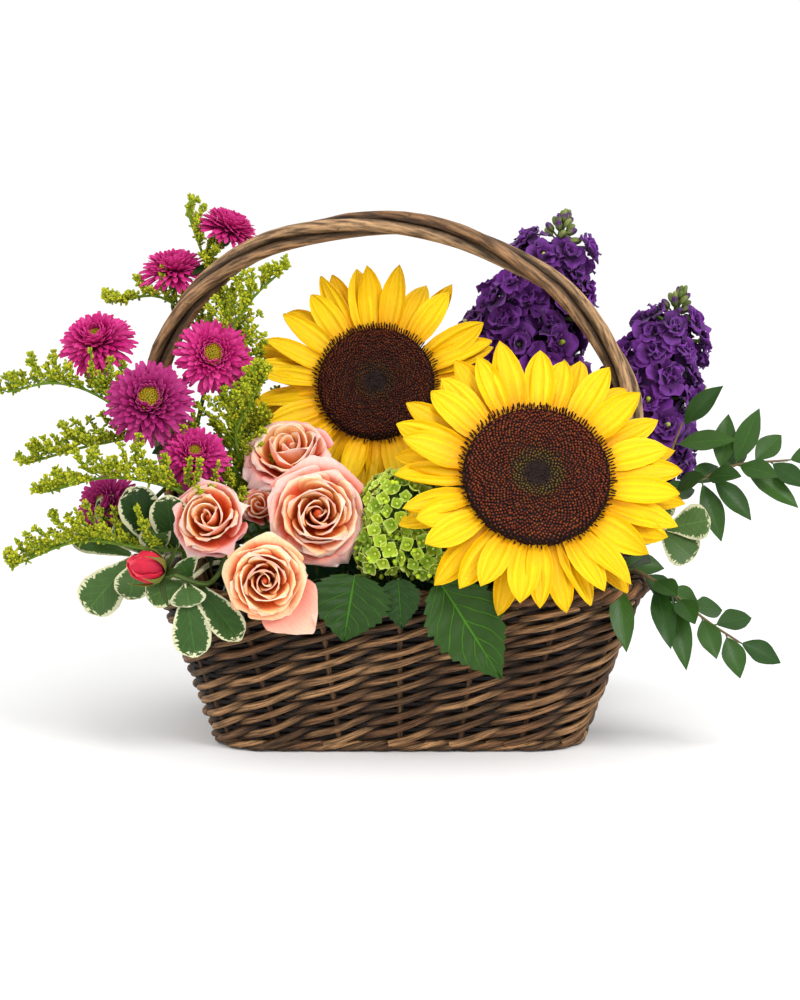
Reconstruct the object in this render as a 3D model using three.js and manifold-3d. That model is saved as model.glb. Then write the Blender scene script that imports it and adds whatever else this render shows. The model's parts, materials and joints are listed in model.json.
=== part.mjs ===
// A willow handle basket filled with a mixed flower arrangement: two sunflowers, spray roses, asters, a
// green hydrangea head, two stocks, goldenrod, variegated pittosporum and myrtle, with their cut stems
// standing in wet foam.
//
// Millimetres, +Z up. The origin is the middle of the basket's underside, +X runs along the basket to the
// right and -Y is the front. Every piece is one closed solid, and pieces that touch keep a small gap.
import * as THREE from "three";
import { mergeVertices } from "three/addons/utils/BufferGeometryUtils.js";
import Module from "manifold-3d";

const wasm = await Module();
wasm.setup();

// ---------------------------------------------------------------- driving dimensions

const GAP = 0.4; // between pieces that touch

const BASKET = {
  length: 278, // outside, at the top of the woven wall
  depth: 204,
  baseLength: 216, // outside, at the table
  baseDepth: 150,
  wallTop: 88,
  wall: 7,
  floor: 7,
  corner: 44,
  baseCorner: 34,
  rows: 5, // rows of weavers, each row being a pair of rods
  stakes: 20,
  relief: 1, // how far a pair stands out of the outline where it passes in front of a stake
  between: 2, // how far inside the outline the weavers lie between two stakes
  crease: 2.8, // how far inside it a stake lies where it shows between two rows
};
const RIM = { radius: 6, flat: 0.8, turns: 24, steps: 48, inset: 4 };
const FOOT = { radius: 3.6, flat: 0.8, turns: 16, steps: 32, inset: 3.24 };
const HANDLE = { strand: 4.1, pitchCircle: 3.7, turns: 2.6, steps: 36, sides: 9 };
const LINER = { length: 208, depth: 172, baseLength: 158, baseDepth: 124, top: 84, wall: 1.4, corner: 26 };
const FOAM = { length: 176, depth: 126, baseLength: 144, baseDepth: 106, top: 116, bevel: 16 };

const SUNFLOWER = { rays: 25, rayWidth: 21.5, frontRadius: 83, hub: 2.6, receptacle: 17, stem: 5 };
const ROSE = { petals: 5, depth: 1.02 }; // depth of a bloom in its radii
const ASTER = { base: 7, eye: 0.24, fullEye: 0.3 }; // base of the bloom below its face, eye in its radii
const FLORET = { root: 0.6 }; // depth of a floret's pointed root, in its radii
const HYDRANGEA = { floret: 9, stem: 2.4, neck: [3, -75, 121.6], cut: [2, -38, 88] };
const STOCK_STEM = 2.3;
const GOLDENROD_TWIG = { shortest: 13, longest: 22, lowBead: 2, highBead: 2.6 };
const MYRTLE_LEAF = { length: 24, width: 12.5, pairs: 11, leafy: 0.56 }; // leafy: share of the sprig
const GOLDEN_ANGLE = Math.PI * (3 - Math.sqrt(5));

// ---------------------------------------------------------------- small tools

const v3 = (x, y, z) => new THREE.Vector3(x, y, z);
const lerp = THREE.MathUtils.lerp;

// A repeatable random number source.
function seeded(seed) {
  let state = seed >>> 0;
  return () => {
    state = (state + 0x6d2b79f5) >>> 0;
    let t = state;
    t = Math.imul(t ^ (t >>> 15), t | 1);
    t ^= t + Math.imul(t ^ (t >>> 7), t | 61);
    return ((t ^ (t >>> 14)) >>> 0) / 4294967296;
  };
}

// A value between -amount and +amount.
const sway = (random, amount) => (random() * 2 - 1) * amount;

// The matrix that puts a local +Z along axis at a position, after a turn about it.
function facing(position, axis, spin = 0) {
  const turn = new THREE.Quaternion().setFromUnitVectors(v3(0, 0, 1), axis.clone().normalize());
  turn.multiply(new THREE.Quaternion().setFromAxisAngle(v3(0, 0, 1), spin));
  return new THREE.Matrix4().compose(position, turn, v3(1, 1, 1));
}

// The direction with this azimuth and elevation, in degrees. Azimuth 0 is towards the front, and a positive
// one is to the right.
function direction(azimuth, elevation) {
  const a = THREE.MathUtils.degToRad(azimuth);
  const e = THREE.MathUtils.degToRad(elevation);
  return v3(Math.sin(a) * Math.cos(e), -Math.cos(a) * Math.cos(e), Math.sin(e));
}

// A closed geometry through rings of equal length. An end ring may be a single point, and an open end is
// capped. With mirrored, every other face is split along its other diagonal, so that both sides of a blade
// are alike.
function loft(rings, { endless = false, mirrored = false } = {}) {
  const points = [];
  const index = [];
  const starts = rings.map((ring) => {
    const start = points.length;
    ring.forEach((p) => points.push(p));
    return start;
  });
  const band = (a, b) => {
    const n = Math.max(rings[a].length, rings[b].length);
    for (let i = 0; i < n; i++) {
      const j = (i + 1) % n;
      const a0 = starts[a] + (i % rings[a].length);
      const a1 = starts[a] + (j % rings[a].length);
      const b0 = starts[b] + (i % rings[b].length);
      const b1 = starts[b] + (j % rings[b].length);
      const other = mirrored && i % 2 === 1 && a0 !== a1 && b0 !== b1;
      if (a0 !== a1) index.push(a0, a1, other ? b1 : b0);
      if (b0 !== b1) index.push(other ? a0 : a1, b1, b0);
    }
  };
  for (let r = 0; r + 1 < rings.length; r++) band(r, r + 1);
  if (endless) band(rings.length - 1, 0);
  const cap = (r, reverse) => {
    for (let i = 1; i + 1 < rings[r].length; i++) {
      const s = starts[r];
      index.push(...(reverse ? [s, s + i + 1, s + i] : [s, s + i, s + i + 1]));
    }
  };
  if (!endless) {
    cap(0, true);
    cap(rings.length - 1, false);
  }
  const geometry = new THREE.BufferGeometry().setFromPoints(points);
  geometry.setIndex(index);
  return geometry;
}

// A geometry as a solid, with its faces turned to point outwards.
function solid(geometry, matrix, weld = 1e-4) {
  const copy = geometry.clone();
  copy.deleteAttribute("normal");
  copy.deleteAttribute("uv");
  if (matrix) copy.applyMatrix4(matrix);
  const merged = mergeVertices(copy, weld);
  const p = merged.attributes.position.array;
  const t = new Uint32Array(merged.index.array);
  let volume = 0;
  for (let i = 0; i < t.length; i += 3) {
    const [a, b, c] = [t[i] * 3, t[i + 1] * 3, t[i + 2] * 3];
    volume +=
      p[a] * (p[b + 1] * p[c + 2] - p[b + 2] * p[c + 1]) +
      p[a + 1] * (p[b + 2] * p[c] - p[b] * p[c + 2]) +
      p[a + 2] * (p[b] * p[c + 1] - p[b + 1] * p[c]);
  }
  if (volume < 0) for (let i = 0; i < t.length; i += 3) [t[i + 1], t[i + 2]] = [t[i + 2], t[i + 1]];
  return new wasm.Manifold(new wasm.Mesh({ numProp: 3, vertProperties: p, triVerts: t }));
}

const largest = (body) => body.decompose().sort((a, b) => b.volume() - a.volume())[0];

// Solids joined into one, without the slivers and loose scraps that joining leaves.
const SLIVER = 0.15;
const joined = (solids) => largest(wasm.Manifold.union(solids).simplify(SLIVER));

// A solid's mesh as a three.js geometry.
function geometryOf(body) {
  const mesh = body.getMesh();
  const positions = new Float32Array(mesh.numVert * 3);
  for (let i = 0; i < mesh.numVert; i++)
    positions.set(mesh.vertProperties.subarray(i * mesh.numProp, i * mesh.numProp + 3), i * 3);
  const geometry = new THREE.BufferGeometry();
  geometry.setAttribute("position", new THREE.BufferAttribute(positions, 3));
  geometry.setIndex(new THREE.BufferAttribute(new Uint32Array(mesh.triVerts), 1));
  return geometry;
}

// A tapered round rod along a curve. radius is a function of the share of its length.
function rod(curve, radius, sides, steps) {
  const frames = curve.computeFrenetFrames(steps, false);
  const rings = [];
  for (let s = 0; s <= steps; s++) {
    const centre = curve.getPointAt(s / steps);
    const r = radius(s / steps);
    const ring = [];
    for (let k = 0; k < sides; k++) {
      const a = (k / sides) * Math.PI * 2;
      ring.push(
        centre
          .clone()
          .addScaledVector(frames.normals[s], Math.cos(a) * r)
          .addScaledVector(frames.binormals[s], Math.sin(a) * r),
      );
    }
    rings.push(ring);
  }
  return loft(rings);
}

const curveThrough = (points) => new THREE.CatmullRomCurve3(points, false, "centripetal");

// A thin blade that grows along +X with its upper face to +Z: a petal, a sepal or a leaf.
// outline lists [share of the length, share of the half width], ending before the tip. A first width of 0
// starts the blade in a point, which costs few faces where it is sunk into a stem.
function blade({ length, width, thickness = 1.2, outline, ...bends }) {
  const { droop = 0, rise = 0, cup = 0, twist = 0, wave = 0 } = bends;
  const height = (t) => rise * Math.sin(t * Math.PI) - droop * t * t;
  const rings = outline.map(([t, share], station) => {
    const half = (width / 2) * share;
    const turn = twist * t;
    const lift = cup * half + (station % 2 ? wave : -wave);
    const side = (sign) =>
      v3(t * length, sign * half * Math.cos(turn), height(t) + sign * half * Math.sin(turn) + lift);
    const middle = (offset) => v3(t * length, 0, height(t) + offset);
    if (share === 0) return [middle(0)];
    return [side(1), middle(thickness / 2), side(-1), middle(-thickness / 2)];
  });
  rings.push([v3(length, 0, height(1))]);
  return loft(rings, { mirrored: true });
}

const PETAL = [
  [0, 0.45],
  [0.5, 1],
  [0.82, 0.74],
];
const BRACT = [
  [0, 0],
  [0.45, 1],
];
const LANCE = [
  [0, 0],
  [0.36, 0.94],
  [0.7, 0.86],
];

// A leaf outline with saw teeth: each tooth runs out to the full width and steps back in.
function serrated(teeth, shape) {
  const outline = [[0, 0]];
  for (let i = 0; i < teeth; i++) {
    const out = (i + 0.85) / (teeth + 0.4);
    outline.push([out, shape(out)]);
    outline.push([out + 0.12 / teeth, shape(out) * 0.84]);
  }
  return outline;
}

// A rosette of pointed petals in layers, made as one stacked surface. Even and odd points of a ring take
// turns as petal tips, so that each layer's petals stand over the gaps of the one below.
function rosette({ petals, layers, base, top, ruffle = 0, random }) {
  const count = petals * 2;
  const circle = ({ r, z }) =>
    Array.from({ length: count }, (_, i) => {
      const a = (i / count) * Math.PI * 2;
      return v3(r * Math.cos(a), r * Math.sin(a), z);
    });
  const rings = [circle(base)];
  layers.forEach(({ tip, valley, z, shoulder }, layer) => {
    rings.push(
      Array.from({ length: count }, (_, i) => {
        const out = i % 2 === layer % 2;
        const r = (out ? tip : valley) * (1 + sway(random, out ? 0.06 : 0.03));
        const a = ((i + sway(random, 0.12)) / count) * Math.PI * 2;
        return v3(r * Math.cos(a), r * Math.sin(a), z + (out ? sway(random, ruffle) : 0));
      }),
    );
    if (shoulder) rings.push(circle({ r: shoulder, z: z + 1.6 }));
  });
  return loft([...rings, circle(top)]);
}

// ---------------------------------------------------------------- the group and what is already in place

const group = new THREE.Group();
const inPlace = []; // the name, solid and box of each piece in the group

function material(colour, roughness = 0.7) {
  return new THREE.MeshStandardMaterial({ color: colour, roughness, metalness: 0 });
}
const WILLOW = material(0x5a3f28, 0.75);
const WILLOW_LIGHT = material(0x86643f, 0.7);
const LINER_PLASTIC = material(0x1d211c, 0.4);
const FOAM_GREEN = material(0x2f5a34, 0.95);
const YELLOW = material(0xf2c200, 0.6);
const DISC_BROWN = material(0x35170b, 0.85);
const STEM_GREEN = material(0x4a6a2a, 0.65);
const ROSE_PEACH = material(0xe8a08a, 0.6);
const BUD_RED = material(0xb8314a, 0.6);
const MAGENTA = material(0xb01c74, 0.6);
const CENTRE_YELLOW = material(0xb59a14, 0.8);
const LIME = material(0x93b52c, 0.65);
const LEAF_GREEN = material(0x2c5218, 0.5);
const PURPLE = material(0x4f1a78, 0.65);
const GOLDENROD_GREEN = material(0x97a51c, 0.75);

// Takes a finished solid into the group as one named mesh, with vertices that all but touch made one.
const WELD = 0.003;
function place(name, made, finish) {
  const body = largest(solid(geometryOf(made), undefined, WELD));
  const mesh = new THREE.Mesh(geometryOf(body), finish);
  mesh.name = name;
  group.add(mesh);
  inPlace.push({ name, body, box: body.boundingBox() });
}

// Whether a body is clear of everything in place, apart from the named pieces.
function clear(body, except = []) {
  const { min, max } = body.boundingBox();
  return inPlace.every(({ name, body: other, box }) => {
    if (except.includes(name)) return true;
    for (let i = 0; i < 3; i++) if (box.min[i] > max[i] || box.max[i] < min[i]) return true;
    return other.intersect(body).volume() < 1e-6;
  });
}

// ---------------------------------------------------------------- basket

// A point of a rounded rectangle's outline at share u of its length, and the outward normal there.
function roundedRectangle(length, depth, corner, u) {
  const a = length / 2 - corner;
  const b = depth / 2 - corner;
  const arc = (Math.PI / 2) * corner;
  const sides = [b, arc, 2 * a, arc, 2 * b, arc, 2 * a, arc, b];
  const whole = sides.reduce((sum, s) => sum + s, 0);
  let d = ((((u % 1) + 1) % 1) * whole + 1e-9) % whole;
  let k = 0;
  while (k < 8 && d > sides[k]) d -= sides[k++];
  const centres = [
    [a, b],
    [-a, b],
    [-a, -b],
    [a, -b],
  ];
  if (k % 2 === 1) {
    const [cx, cy] = centres[(k - 1) / 2];
    const angle = ((k - 1) / 2) * (Math.PI / 2) + d / corner;
    const n = v3(Math.cos(angle), Math.sin(angle), 0);
    return { point: v3(cx + n.x * corner, cy + n.y * corner, 0), normal: n };
  }
  if (k === 0) return { point: v3(a + corner, d, 0), normal: v3(1, 0, 0) };
  if (k === 2) return { point: v3(a - d, b + corner, 0), normal: v3(0, 1, 0) };
  if (k === 4) return { point: v3(-a - corner, b - d, 0), normal: v3(-1, 0, 0) };
  if (k === 6) return { point: v3(-a + d, -b - corner, 0), normal: v3(0, -1, 0) };
  return { point: v3(a + corner, -b + d, 0), normal: v3(1, 0, 0) };
}

// The basket's outline at height z, moved in by inset.
function basketOutline(z, u, inset = 0) {
  const t = z / BASKET.wallTop;
  const { point, normal } = roundedRectangle(
    lerp(BASKET.baseLength, BASKET.length, t),
    lerp(BASKET.baseDepth, BASKET.depth, t),
    lerp(BASKET.baseCorner, BASKET.corner, t),
    u,
  );
  return point.addScaledVector(normal, -inset).setZ(z);
}

// The woven wall and floor: one shell whose outer face is raised, row by row, where a weaver passes in
// front of a stake and sunk where it passes behind. Its underside is set in to leave room for the foot.
function basketBody() {
  const { rows, relief, between, crease, wallTop } = BASKET;
  const count = BASKET.stakes * 2;
  const ringAt = (z, insetOf) =>
    Array.from({ length: count }, (_, i) => basketOutline(z, i / count, insetOf(i)));
  const level = (z, inset) => ringAt(z, () => inset);
  const woven = (z, atStake) => ringAt(z, (i) => (i % 2 ? between : atStake));
  const underside = FOOT.radius * 2.4;
  const bottom = FOOT.radius * 2 + GAP;
  const rings = [level(0, underside), level(bottom, underside), woven(bottom, crease)];
  const rowHeight = (wallTop - bottom) / rows;
  for (let row = 0; row < rows; row++) {
    const z = bottom + rowHeight * (row + 0.5);
    const last = row === rows - 1;
    rings.push(woven(z, -relief));
    rings.push(last ? level(wallTop, between) : woven(z + rowHeight / 2, crease));
  }
  rings.push(level(wallTop, BASKET.wall));
  rings.push(level(BASKET.floor, BASKET.wall + 2));
  return solid(loft(rings));
}

// Two rods laid round the basket's outline and twisted: an oval section that turns as it goes round.
function twistedBorder({ radius, flat, turns, steps, inset }, z) {
  const sides = 5;
  const rings = [];
  for (let s = 0; s < steps; s++) {
    const u = s / steps;
    const here = basketOutline(z, u, inset);
    const next = basketOutline(z, u + 0.001, inset);
    const along = next.sub(here).normalize();
    const out = v3(along.y, -along.x, 0);
    const turn = u * turns * Math.PI;
    const ring = [];
    for (let k = 0; k < sides; k++) {
      const a = (k / sides) * Math.PI * 2;
      const r = radius * (1 - (1 - flat) * 0.5 * (1 - Math.cos(2 * (a - turn))));
      const up = Math.sin(a) * r;
      ring.push(here.clone().addScaledVector(out, Math.cos(a) * r).add(v3(0, 0, up)));
    }
    rings.push(ring);
  }
  return solid(loft(rings, { endless: true }));
}

// The handle's centre line, from its foot inside the left end wall over the top to the right one.
const HANDLE_LINE = [
  [-94, 12],
  [-107, 52],
  [-120, 94],
  [-135, 150],
  [-141, 200],
  [-137, 225],
  [-117, 257],
  [-80, 283],
  [-40, 294],
  [0, 296],
  [40, 288],
  [76, 270],
  [98, 254],
  [120, 227],
  [134, 195],
  [133, 150],
  [120, 94],
  [107, 52],
  [94, 12],
].map(([x, z]) => v3(x, 0, z));

// Three rods twisted together: the outline of three touching circles, turning along the arch. The points of
// a section turn with it, so that every third one stays in the crease between two rods.
function handle() {
  const curve = curveThrough(HANDLE_LINE);
  const { strand, pitchCircle, turns, steps, sides } = HANDLE;
  const rings = [];
  for (let s = 0; s <= steps; s++) {
    const t = s / steps;
    const centre = curve.getPointAt(t);
    const along = curve.getTangentAt(t);
    const out = v3(0, 1, 0).cross(along).normalize();
    const ring = [];
    for (let k = 0; k < sides; k++) {
      const fromCrease = [0, 0.37, 0.63][k % 3];
      const away = ((fromCrease - 0.5) / 3) * Math.PI * 2;
      const a = (Math.floor(k / 3) / 3 + fromCrease / 3 + t * turns) * Math.PI * 2;
      const r = pitchCircle * Math.cos(away) + Math.sqrt(strand ** 2 - (pitchCircle * Math.sin(away)) ** 2);
      ring.push(centre.clone().addScaledVector(out, Math.cos(a) * r).add(v3(0, Math.sin(a) * r, 0)));
    }
    rings.push(ring);
  }
  return solid(loft(rings));
}

// A thin plastic tray that holds the foam and its water.
function liner() {
  const count = 16;
  const ringAt = (z, inset) =>
    Array.from({ length: count }, (_, i) => {
      const t = (z - BASKET.floor) / (LINER.top - BASKET.floor);
      const length = lerp(LINER.baseLength, LINER.length, t);
      const depth = lerp(LINER.baseDepth, LINER.depth, t);
      const { point, normal } = roundedRectangle(length, depth, LINER.corner, i / count);
      return point.addScaledVector(normal, -inset).setZ(z);
    });
  const floor = BASKET.floor + GAP;
  return solid(
    loft([
      ringAt(floor, 0),
      ringAt(LINER.top, 0),
      ringAt(LINER.top, LINER.wall),
      ringAt(floor + LINER.wall, LINER.wall),
    ]),
  );
}

// The block of foam before the stems go in: bevelled corners, and narrower at the bottom like the tray.
function foamBlockShape() {
  const bottom = BASKET.floor + LINER.wall + GAP * 2;
  const { length, depth, baseLength, baseDepth, top, bevel } = FOAM;
  const ringAt = (z, x, y) =>
    [
      [x, y - bevel],
      [x - bevel, y],
      [bevel - x, y],
      [-x, y - bevel],
      [-x, bevel - y],
      [bevel - x, -y],
      [x - bevel, -y],
      [x, bevel - y],
    ].map(([px, py]) => v3(px, py, z));
  return solid(loft([ringAt(bottom, baseLength / 2, baseDepth / 2), ringAt(top, length / 2, depth / 2)]));
}
const foamBlock = foamBlockShape();
const stemHoles = [];

place("basket_body", basketBody(), WILLOW);
place("basket_rim", twistedBorder(RIM, BASKET.wallTop + GAP + RIM.radius), WILLOW_LIGHT);
place("basket_foot", twistedBorder(FOOT, FOOT.radius), WILLOW);
place("basket_handle", handle(), WILLOW_LIGHT);
place("liner", liner(), LINER_PLASTIC);

// ---------------------------------------------------------------- blooms

// Places of the blooms: where the middle of each flower's face is, which way it looks and how wide it is.
const SUNFLOWERS = [
  {
    name: "sunflower_front",
    at: v3(76, -86, 160),
    axis: direction(4, 33),
    radius: SUNFLOWER.frontRadius,
    disc: 42,
    cut: v3(50, -22, 80),
    seed: 11,
  },
  {
    name: "sunflower_back",
    at: v3(-14, 6, 201.5),
    axis: direction(-3, 26),
    radius: 75,
    disc: 35,
    cut: v3(-8, 26, 80),
    seed: 23,
  },
];

const ROSES = [
  { at: v3(-63, -51, 177), axis: direction(0, 50), radius: 27.5, seed: 31 },
  { at: v3(-45, -99, 143), axis: direction(6, 16), radius: 31, seed: 32 },
  { at: v3(-107, -93, 140), axis: direction(-6, 24), radius: 24, seed: 33 },
  { at: v3(-73.5, -132, 110), axis: direction(3, 6), radius: 25, seed: 34 },
  { at: v3(-80, -63, 142), axis: direction(-4, 30), radius: 13, seed: 35, rings: 8 },
];
const ROSE_BUD = { at: v3(-131, -112, 112), axis: v3(-0.85, -0.42, 0.3), radius: 9.5, length: 21 };

const ASTERS = [
  { at: v3(-100, 26, 294), axis: v3(0.42, -0.1, 0.9), radius: 19 },
  { at: v3(-134, 22, 270), axis: v3(-0.05, -0.25, 0.97), radius: 20.5 },
  { at: v3(-176, -15, 231), axis: v3(-0.1, -0.62, 0.78), radius: 22.5 },
  { at: v3(-107, -36, 224), axis: v3(0.12, -0.93, 0.33), radius: 21.5, full: true },
  { at: v3(-142, -54, 200), axis: v3(0.04, -0.86, 0.5), radius: 25, full: true },
  { at: v3(-116, -62, 170), axis: v3(0.1, -0.8, 0.6), radius: 19.5 },
  { at: v3(-167, -66, 143), axis: v3(-0.45, -0.8, 0.35), radius: 19 },
];

// Ray florets round a thin hub, every other one standing a little above its neighbours.
function sunflowerRays({ radius, disc, seed }) {
  const random = seeded(seed);
  const middle = -SUNFLOWER.hub / 2;
  const hub = new THREE.CylinderGeometry(disc - 1.5, disc - 3, SUNFLOWER.hub, 18).rotateX(Math.PI / 2);
  const parts = [solid(hub, new THREE.Matrix4().makeTranslation(0, 0, middle))];
  const root = disc - 5;
  for (let i = 0; i < SUNFLOWER.rays; i++) {
    const upper = i % 2 === 0;
    const ray = blade({
      length: (radius - root) * (upper ? 0.97 : 1) * (1 + sway(random, 0.06)),
      width: SUNFLOWER.rayWidth * (radius / SUNFLOWER.frontRadius) * (1 + sway(random, 0.12)),
      thickness: 1.4,
      droop: sway(random, 2.5) + (upper ? 0 : 2),
      rise: upper ? 2.2 : 1,
      cup: 0.18,
      twist: sway(random, 0.3),
      outline: upper ? PETAL : PETAL.slice(0, 2),
    });
    const tilt = THREE.MathUtils.degToRad(upper ? 9 + sway(random, 3) : -1 + sway(random, 2));
    const matrix = new THREE.Matrix4()
      .makeRotationZ((i / SUNFLOWER.rays) * Math.PI * 2 + sway(random, 0.03))
      .multiply(new THREE.Matrix4().makeTranslation(root, 0, middle))
      .multiply(new THREE.Matrix4().makeRotationY(-tilt));
    parts.push(solid(ray, matrix));
  }
  return joined(parts);
}

// The seed head: a low dome with a dip in the middle, its florets as relief in staggered rings.
function sunflowerDisc({ disc, seed }) {
  const random = seeded(seed + 1);
  const count = 18;
  const profile = [
    [0.93, 1.2],
    [1.02, 4.2],
    [0.93, 7.2],
    [0.78, 7.4],
    [0.62, 8.6],
    [0.42, 8.8],
    [0.18, 7.6],
  ];
  const rings = profile.map(([share, height], row) =>
    Array.from({ length: count }, (_, i) => {
      const a = ((i + (row % 2) * 0.5) / count) * Math.PI * 2;
      const lift = row > 0 ? ((i + row) % 2 ? 0.7 : -0.4) + sway(random, 0.2) : 0;
      return v3(share * disc * Math.cos(a), share * disc * Math.sin(a), height + lift);
    }),
  );
  return solid(loft(rings));
}

// The green receptacle and bracts behind a sunflower's rays, down to where its stem begins.
function sunflowerReceptacle({ disc, seed }) {
  const random = seeded(seed + 2);
  const top = -SUNFLOWER.hub - GAP;
  const bottom = top - SUNFLOWER.receptacle;
  const bracts = 7;
  const profile = [
    [0, bottom],
    [5.5, bottom],
    [11, bottom + 5],
    [disc * 0.62, top - 6],
    [disc - 6, top - 2],
    [disc - 7, top],
    [0, top],
  ];
  const cup = new THREE.LatheGeometry(
    profile.map(([r, z]) => new THREE.Vector2(r, z)),
    10,
  ).rotateX(Math.PI / 2);
  const parts = [solid(cup)];
  for (let i = 0; i < bracts; i++) {
    const bract = blade({ length: 20, width: 14, thickness: 1.6, droop: 4, outline: BRACT });
    const matrix = new THREE.Matrix4()
      .makeRotationZ((i / bracts) * Math.PI * 2 + sway(random, 0.1))
      .multiply(new THREE.Matrix4().makeTranslation(disc - 15, 0, top - 4.6))
      .multiply(new THREE.Matrix4().makeRotationY(THREE.MathUtils.degToRad(24 + sway(random, 5))));
    parts.push(solid(bract, matrix));
  }
  return joined(parts);
}

// A rose as nested cups of overlapping petals: within a petal the radius grows, so that its free edge lies
// outside the start of the next one, and the rims are scalloped and roll outwards.
function roseBloom({ radius: R, seed, rings = 12 }) {
  const random = seeded(seed);
  const H = R * ROSE.depth;
  const steps = [0, 0.46, 0.96];
  const count = ROSE.petals * steps.length;
  const ring = (r, z, lap = 0, scallop = 0) =>
    Array.from({ length: count }, (_, i) => {
      const t = steps[i % steps.length];
      const a = ((Math.floor(i / steps.length) + t + z * 2) / ROSE.petals) * Math.PI * 2;
      const arch = Math.sin(Math.PI * t) ** 2;
      const grow = R * (r + lap * (t - 0.5) + scallop * 0.5 * arch);
      const height = H * (z - 1 + scallop * arch) + sway(random, scallop * 2);
      return v3(grow * Math.cos(a), grow * Math.sin(a), height);
    });
  const cups = [
    ring(0.1, 0),
    ring(0.62, 0.16, 0.06),
    ring(0.84, 0.5, 0.12, 0.02),
    ring(1.0, 0.66, 0.1, 0.07),
    ring(0.92, 0.72, 0.1, 0.07),
    ring(0.68, 0.44, 0.05),
    ring(0.72, 0.84, 0.1, 0.06),
    ring(0.65, 0.85, 0.1, 0.06),
    ring(0.44, 0.58, 0.04),
    ring(0.4, 0.93, 0.08, 0.04),
    ring(0.22, 0.7, 0.03),
    ring(0.16, 0.98, 0.04),
  ];
  return solid(loft([...cups.slice(0, rings), [v3(0, 0, H * -0.06)]]));
}

function roseBud({ radius, length }) {
  const count = 8;
  const ring = (r, z, turn) =>
    Array.from({ length: count }, (_, i) => {
      const a = ((i + turn) / count) * Math.PI * 2;
      const crease = i % 2 ? 0.86 : 1;
      return v3(radius * r * crease * Math.cos(a), radius * r * crease * Math.sin(a), length * z);
    });
  const belly = [ring(0.35, 0, 0), ring(0.95, 0.25, 0.2), ring(1, 0.5, 0.5), ring(0.62, 0.82, 0.9)];
  return solid(loft([...belly, [v3(0, 0, length)]]));
}

// An aster: a rosette of petals in two layers, or in three where the bloom is a full one, round an eye.
const asterEye = ({ radius, full }) => radius * (full ? ASTER.fullEye : ASTER.eye);
const ASTER_EYE_HEIGHT = 1.4;
function asterPetals(aster, seed) {
  const { radius: R, full } = aster;
  const lower = { tip: R, valley: R * 0.72, z: -3.5, shoulder: R * 0.56 };
  const upper = { tip: R * 0.84, valley: R * 0.6, z: 0.8 };
  const inner = { tip: R * 0.64, valley: R * 0.48, z: 3.8 };
  const layers = full ? [lower, { ...upper, shoulder: R * 0.44 }, inner] : [lower, upper];
  const base = { r: 3.4, z: -ASTER.base };
  const top = { r: asterEye(aster), z: ASTER_EYE_HEIGHT };
  return solid(rosette({ petals: 9, layers, base, top, ruffle: 0.8, random: seeded(seed) }));
}

function asterCentre(aster) {
  const sides = 8;
  const r = asterEye(aster) - 0.6;
  const z = ASTER_EYE_HEIGHT + GAP;
  const ring = (share, height, turn) =>
    Array.from({ length: sides }, (_, i) => {
      const a = ((i + turn) / sides) * Math.PI * 2;
      return v3(share * r * Math.cos(a), share * r * Math.sin(a), height);
    });
  return solid(loft([ring(1, z, 0), ring(0.9, z + 1.3, 0.5), ring(0.45, z + 2.1, 0)]));
}

// ---------------------------------------------------------------- stems

// Small shifts in the plane, nearest first, for finding a clear way past what is already in place.
const SHIFTS = [v3(0, 0, 0)];
for (const reach of [6, 12, 18, 24])
  for (let k = 0; k < 8; k++)
    SHIFTS.push(v3(reach, 0, 0).applyAxisAngle(v3(0, 0, 1), (k * Math.PI) / 4));

// Small shifts in space, nearest first.
const NUDGES = [v3(0, 0, 0)];
const NUDGE_WAYS = [
  [0, -1, 0],
  [0, 1, 0],
  [0, 0, 1],
  [0, 0, -1],
  [1, 0, 0],
  [-1, 0, 0],
  [1, -1, 1],
  [-1, -1, -1],
];
for (const reach of [4, 8, 12, 17])
  for (const way of NUDGE_WAYS) NUDGES.push(v3(...way).multiplyScalar(reach));

// Whether a cut end lies well inside the block of foam.
const FOAM_EDGE = 8;
const inFoam = (p) =>
  Math.abs(p.x) < FOAM.length / 2 - FOAM_EDGE && Math.abs(p.y) < FOAM.depth / 2 - FOAM_EDGE;

// A stem through points to its cut end in the foam, by the nearest way that is clear of what is in place.
// Returns its solid and its line, and notes the hole that it makes in the foam.
function stemTo(end, points, radius, { sides = 5, steps = 7, tip = 1 } = {}) {
  for (const bow of NUDGES)
    for (const shift of SHIFTS) {
      const cut = end.clone().add(shift);
      if (!inFoam(cut)) continue;
      const way = points.map((p, i) => (i ? p.clone().add(bow) : p));
      const curve = curveThrough([...way, cut]);
      const made = (extra) => solid(rod(curve, (t) => radius * lerp(tip, 1, t) + extra, sides, steps));
      const hole = made(GAP);
      if (!clear(hole)) continue;
      stemHoles.push(hole);
      return { line: lineOf(curve, steps), body: made(0) };
    }
  throw new Error("no clear way for a stem from " + points[0].toArray().map(Math.round));
}

// The middle line of a rod as it is made, in straight stretches: at gives a point and along the direction
// back towards the rod's start.
function lineOf(curve, steps) {
  const points = curve.getSpacedPoints(steps);
  const stretch = (t) => Math.min(steps - 1, Math.floor(t * steps));
  return {
    at: (t) => points[stretch(t)].clone().lerp(points[stretch(t) + 1], t * steps - stretch(t)),
    along: (t) => points[stretch(t)].clone().sub(points[stretch(t) + 1]).normalize(),
  };
}

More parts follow.
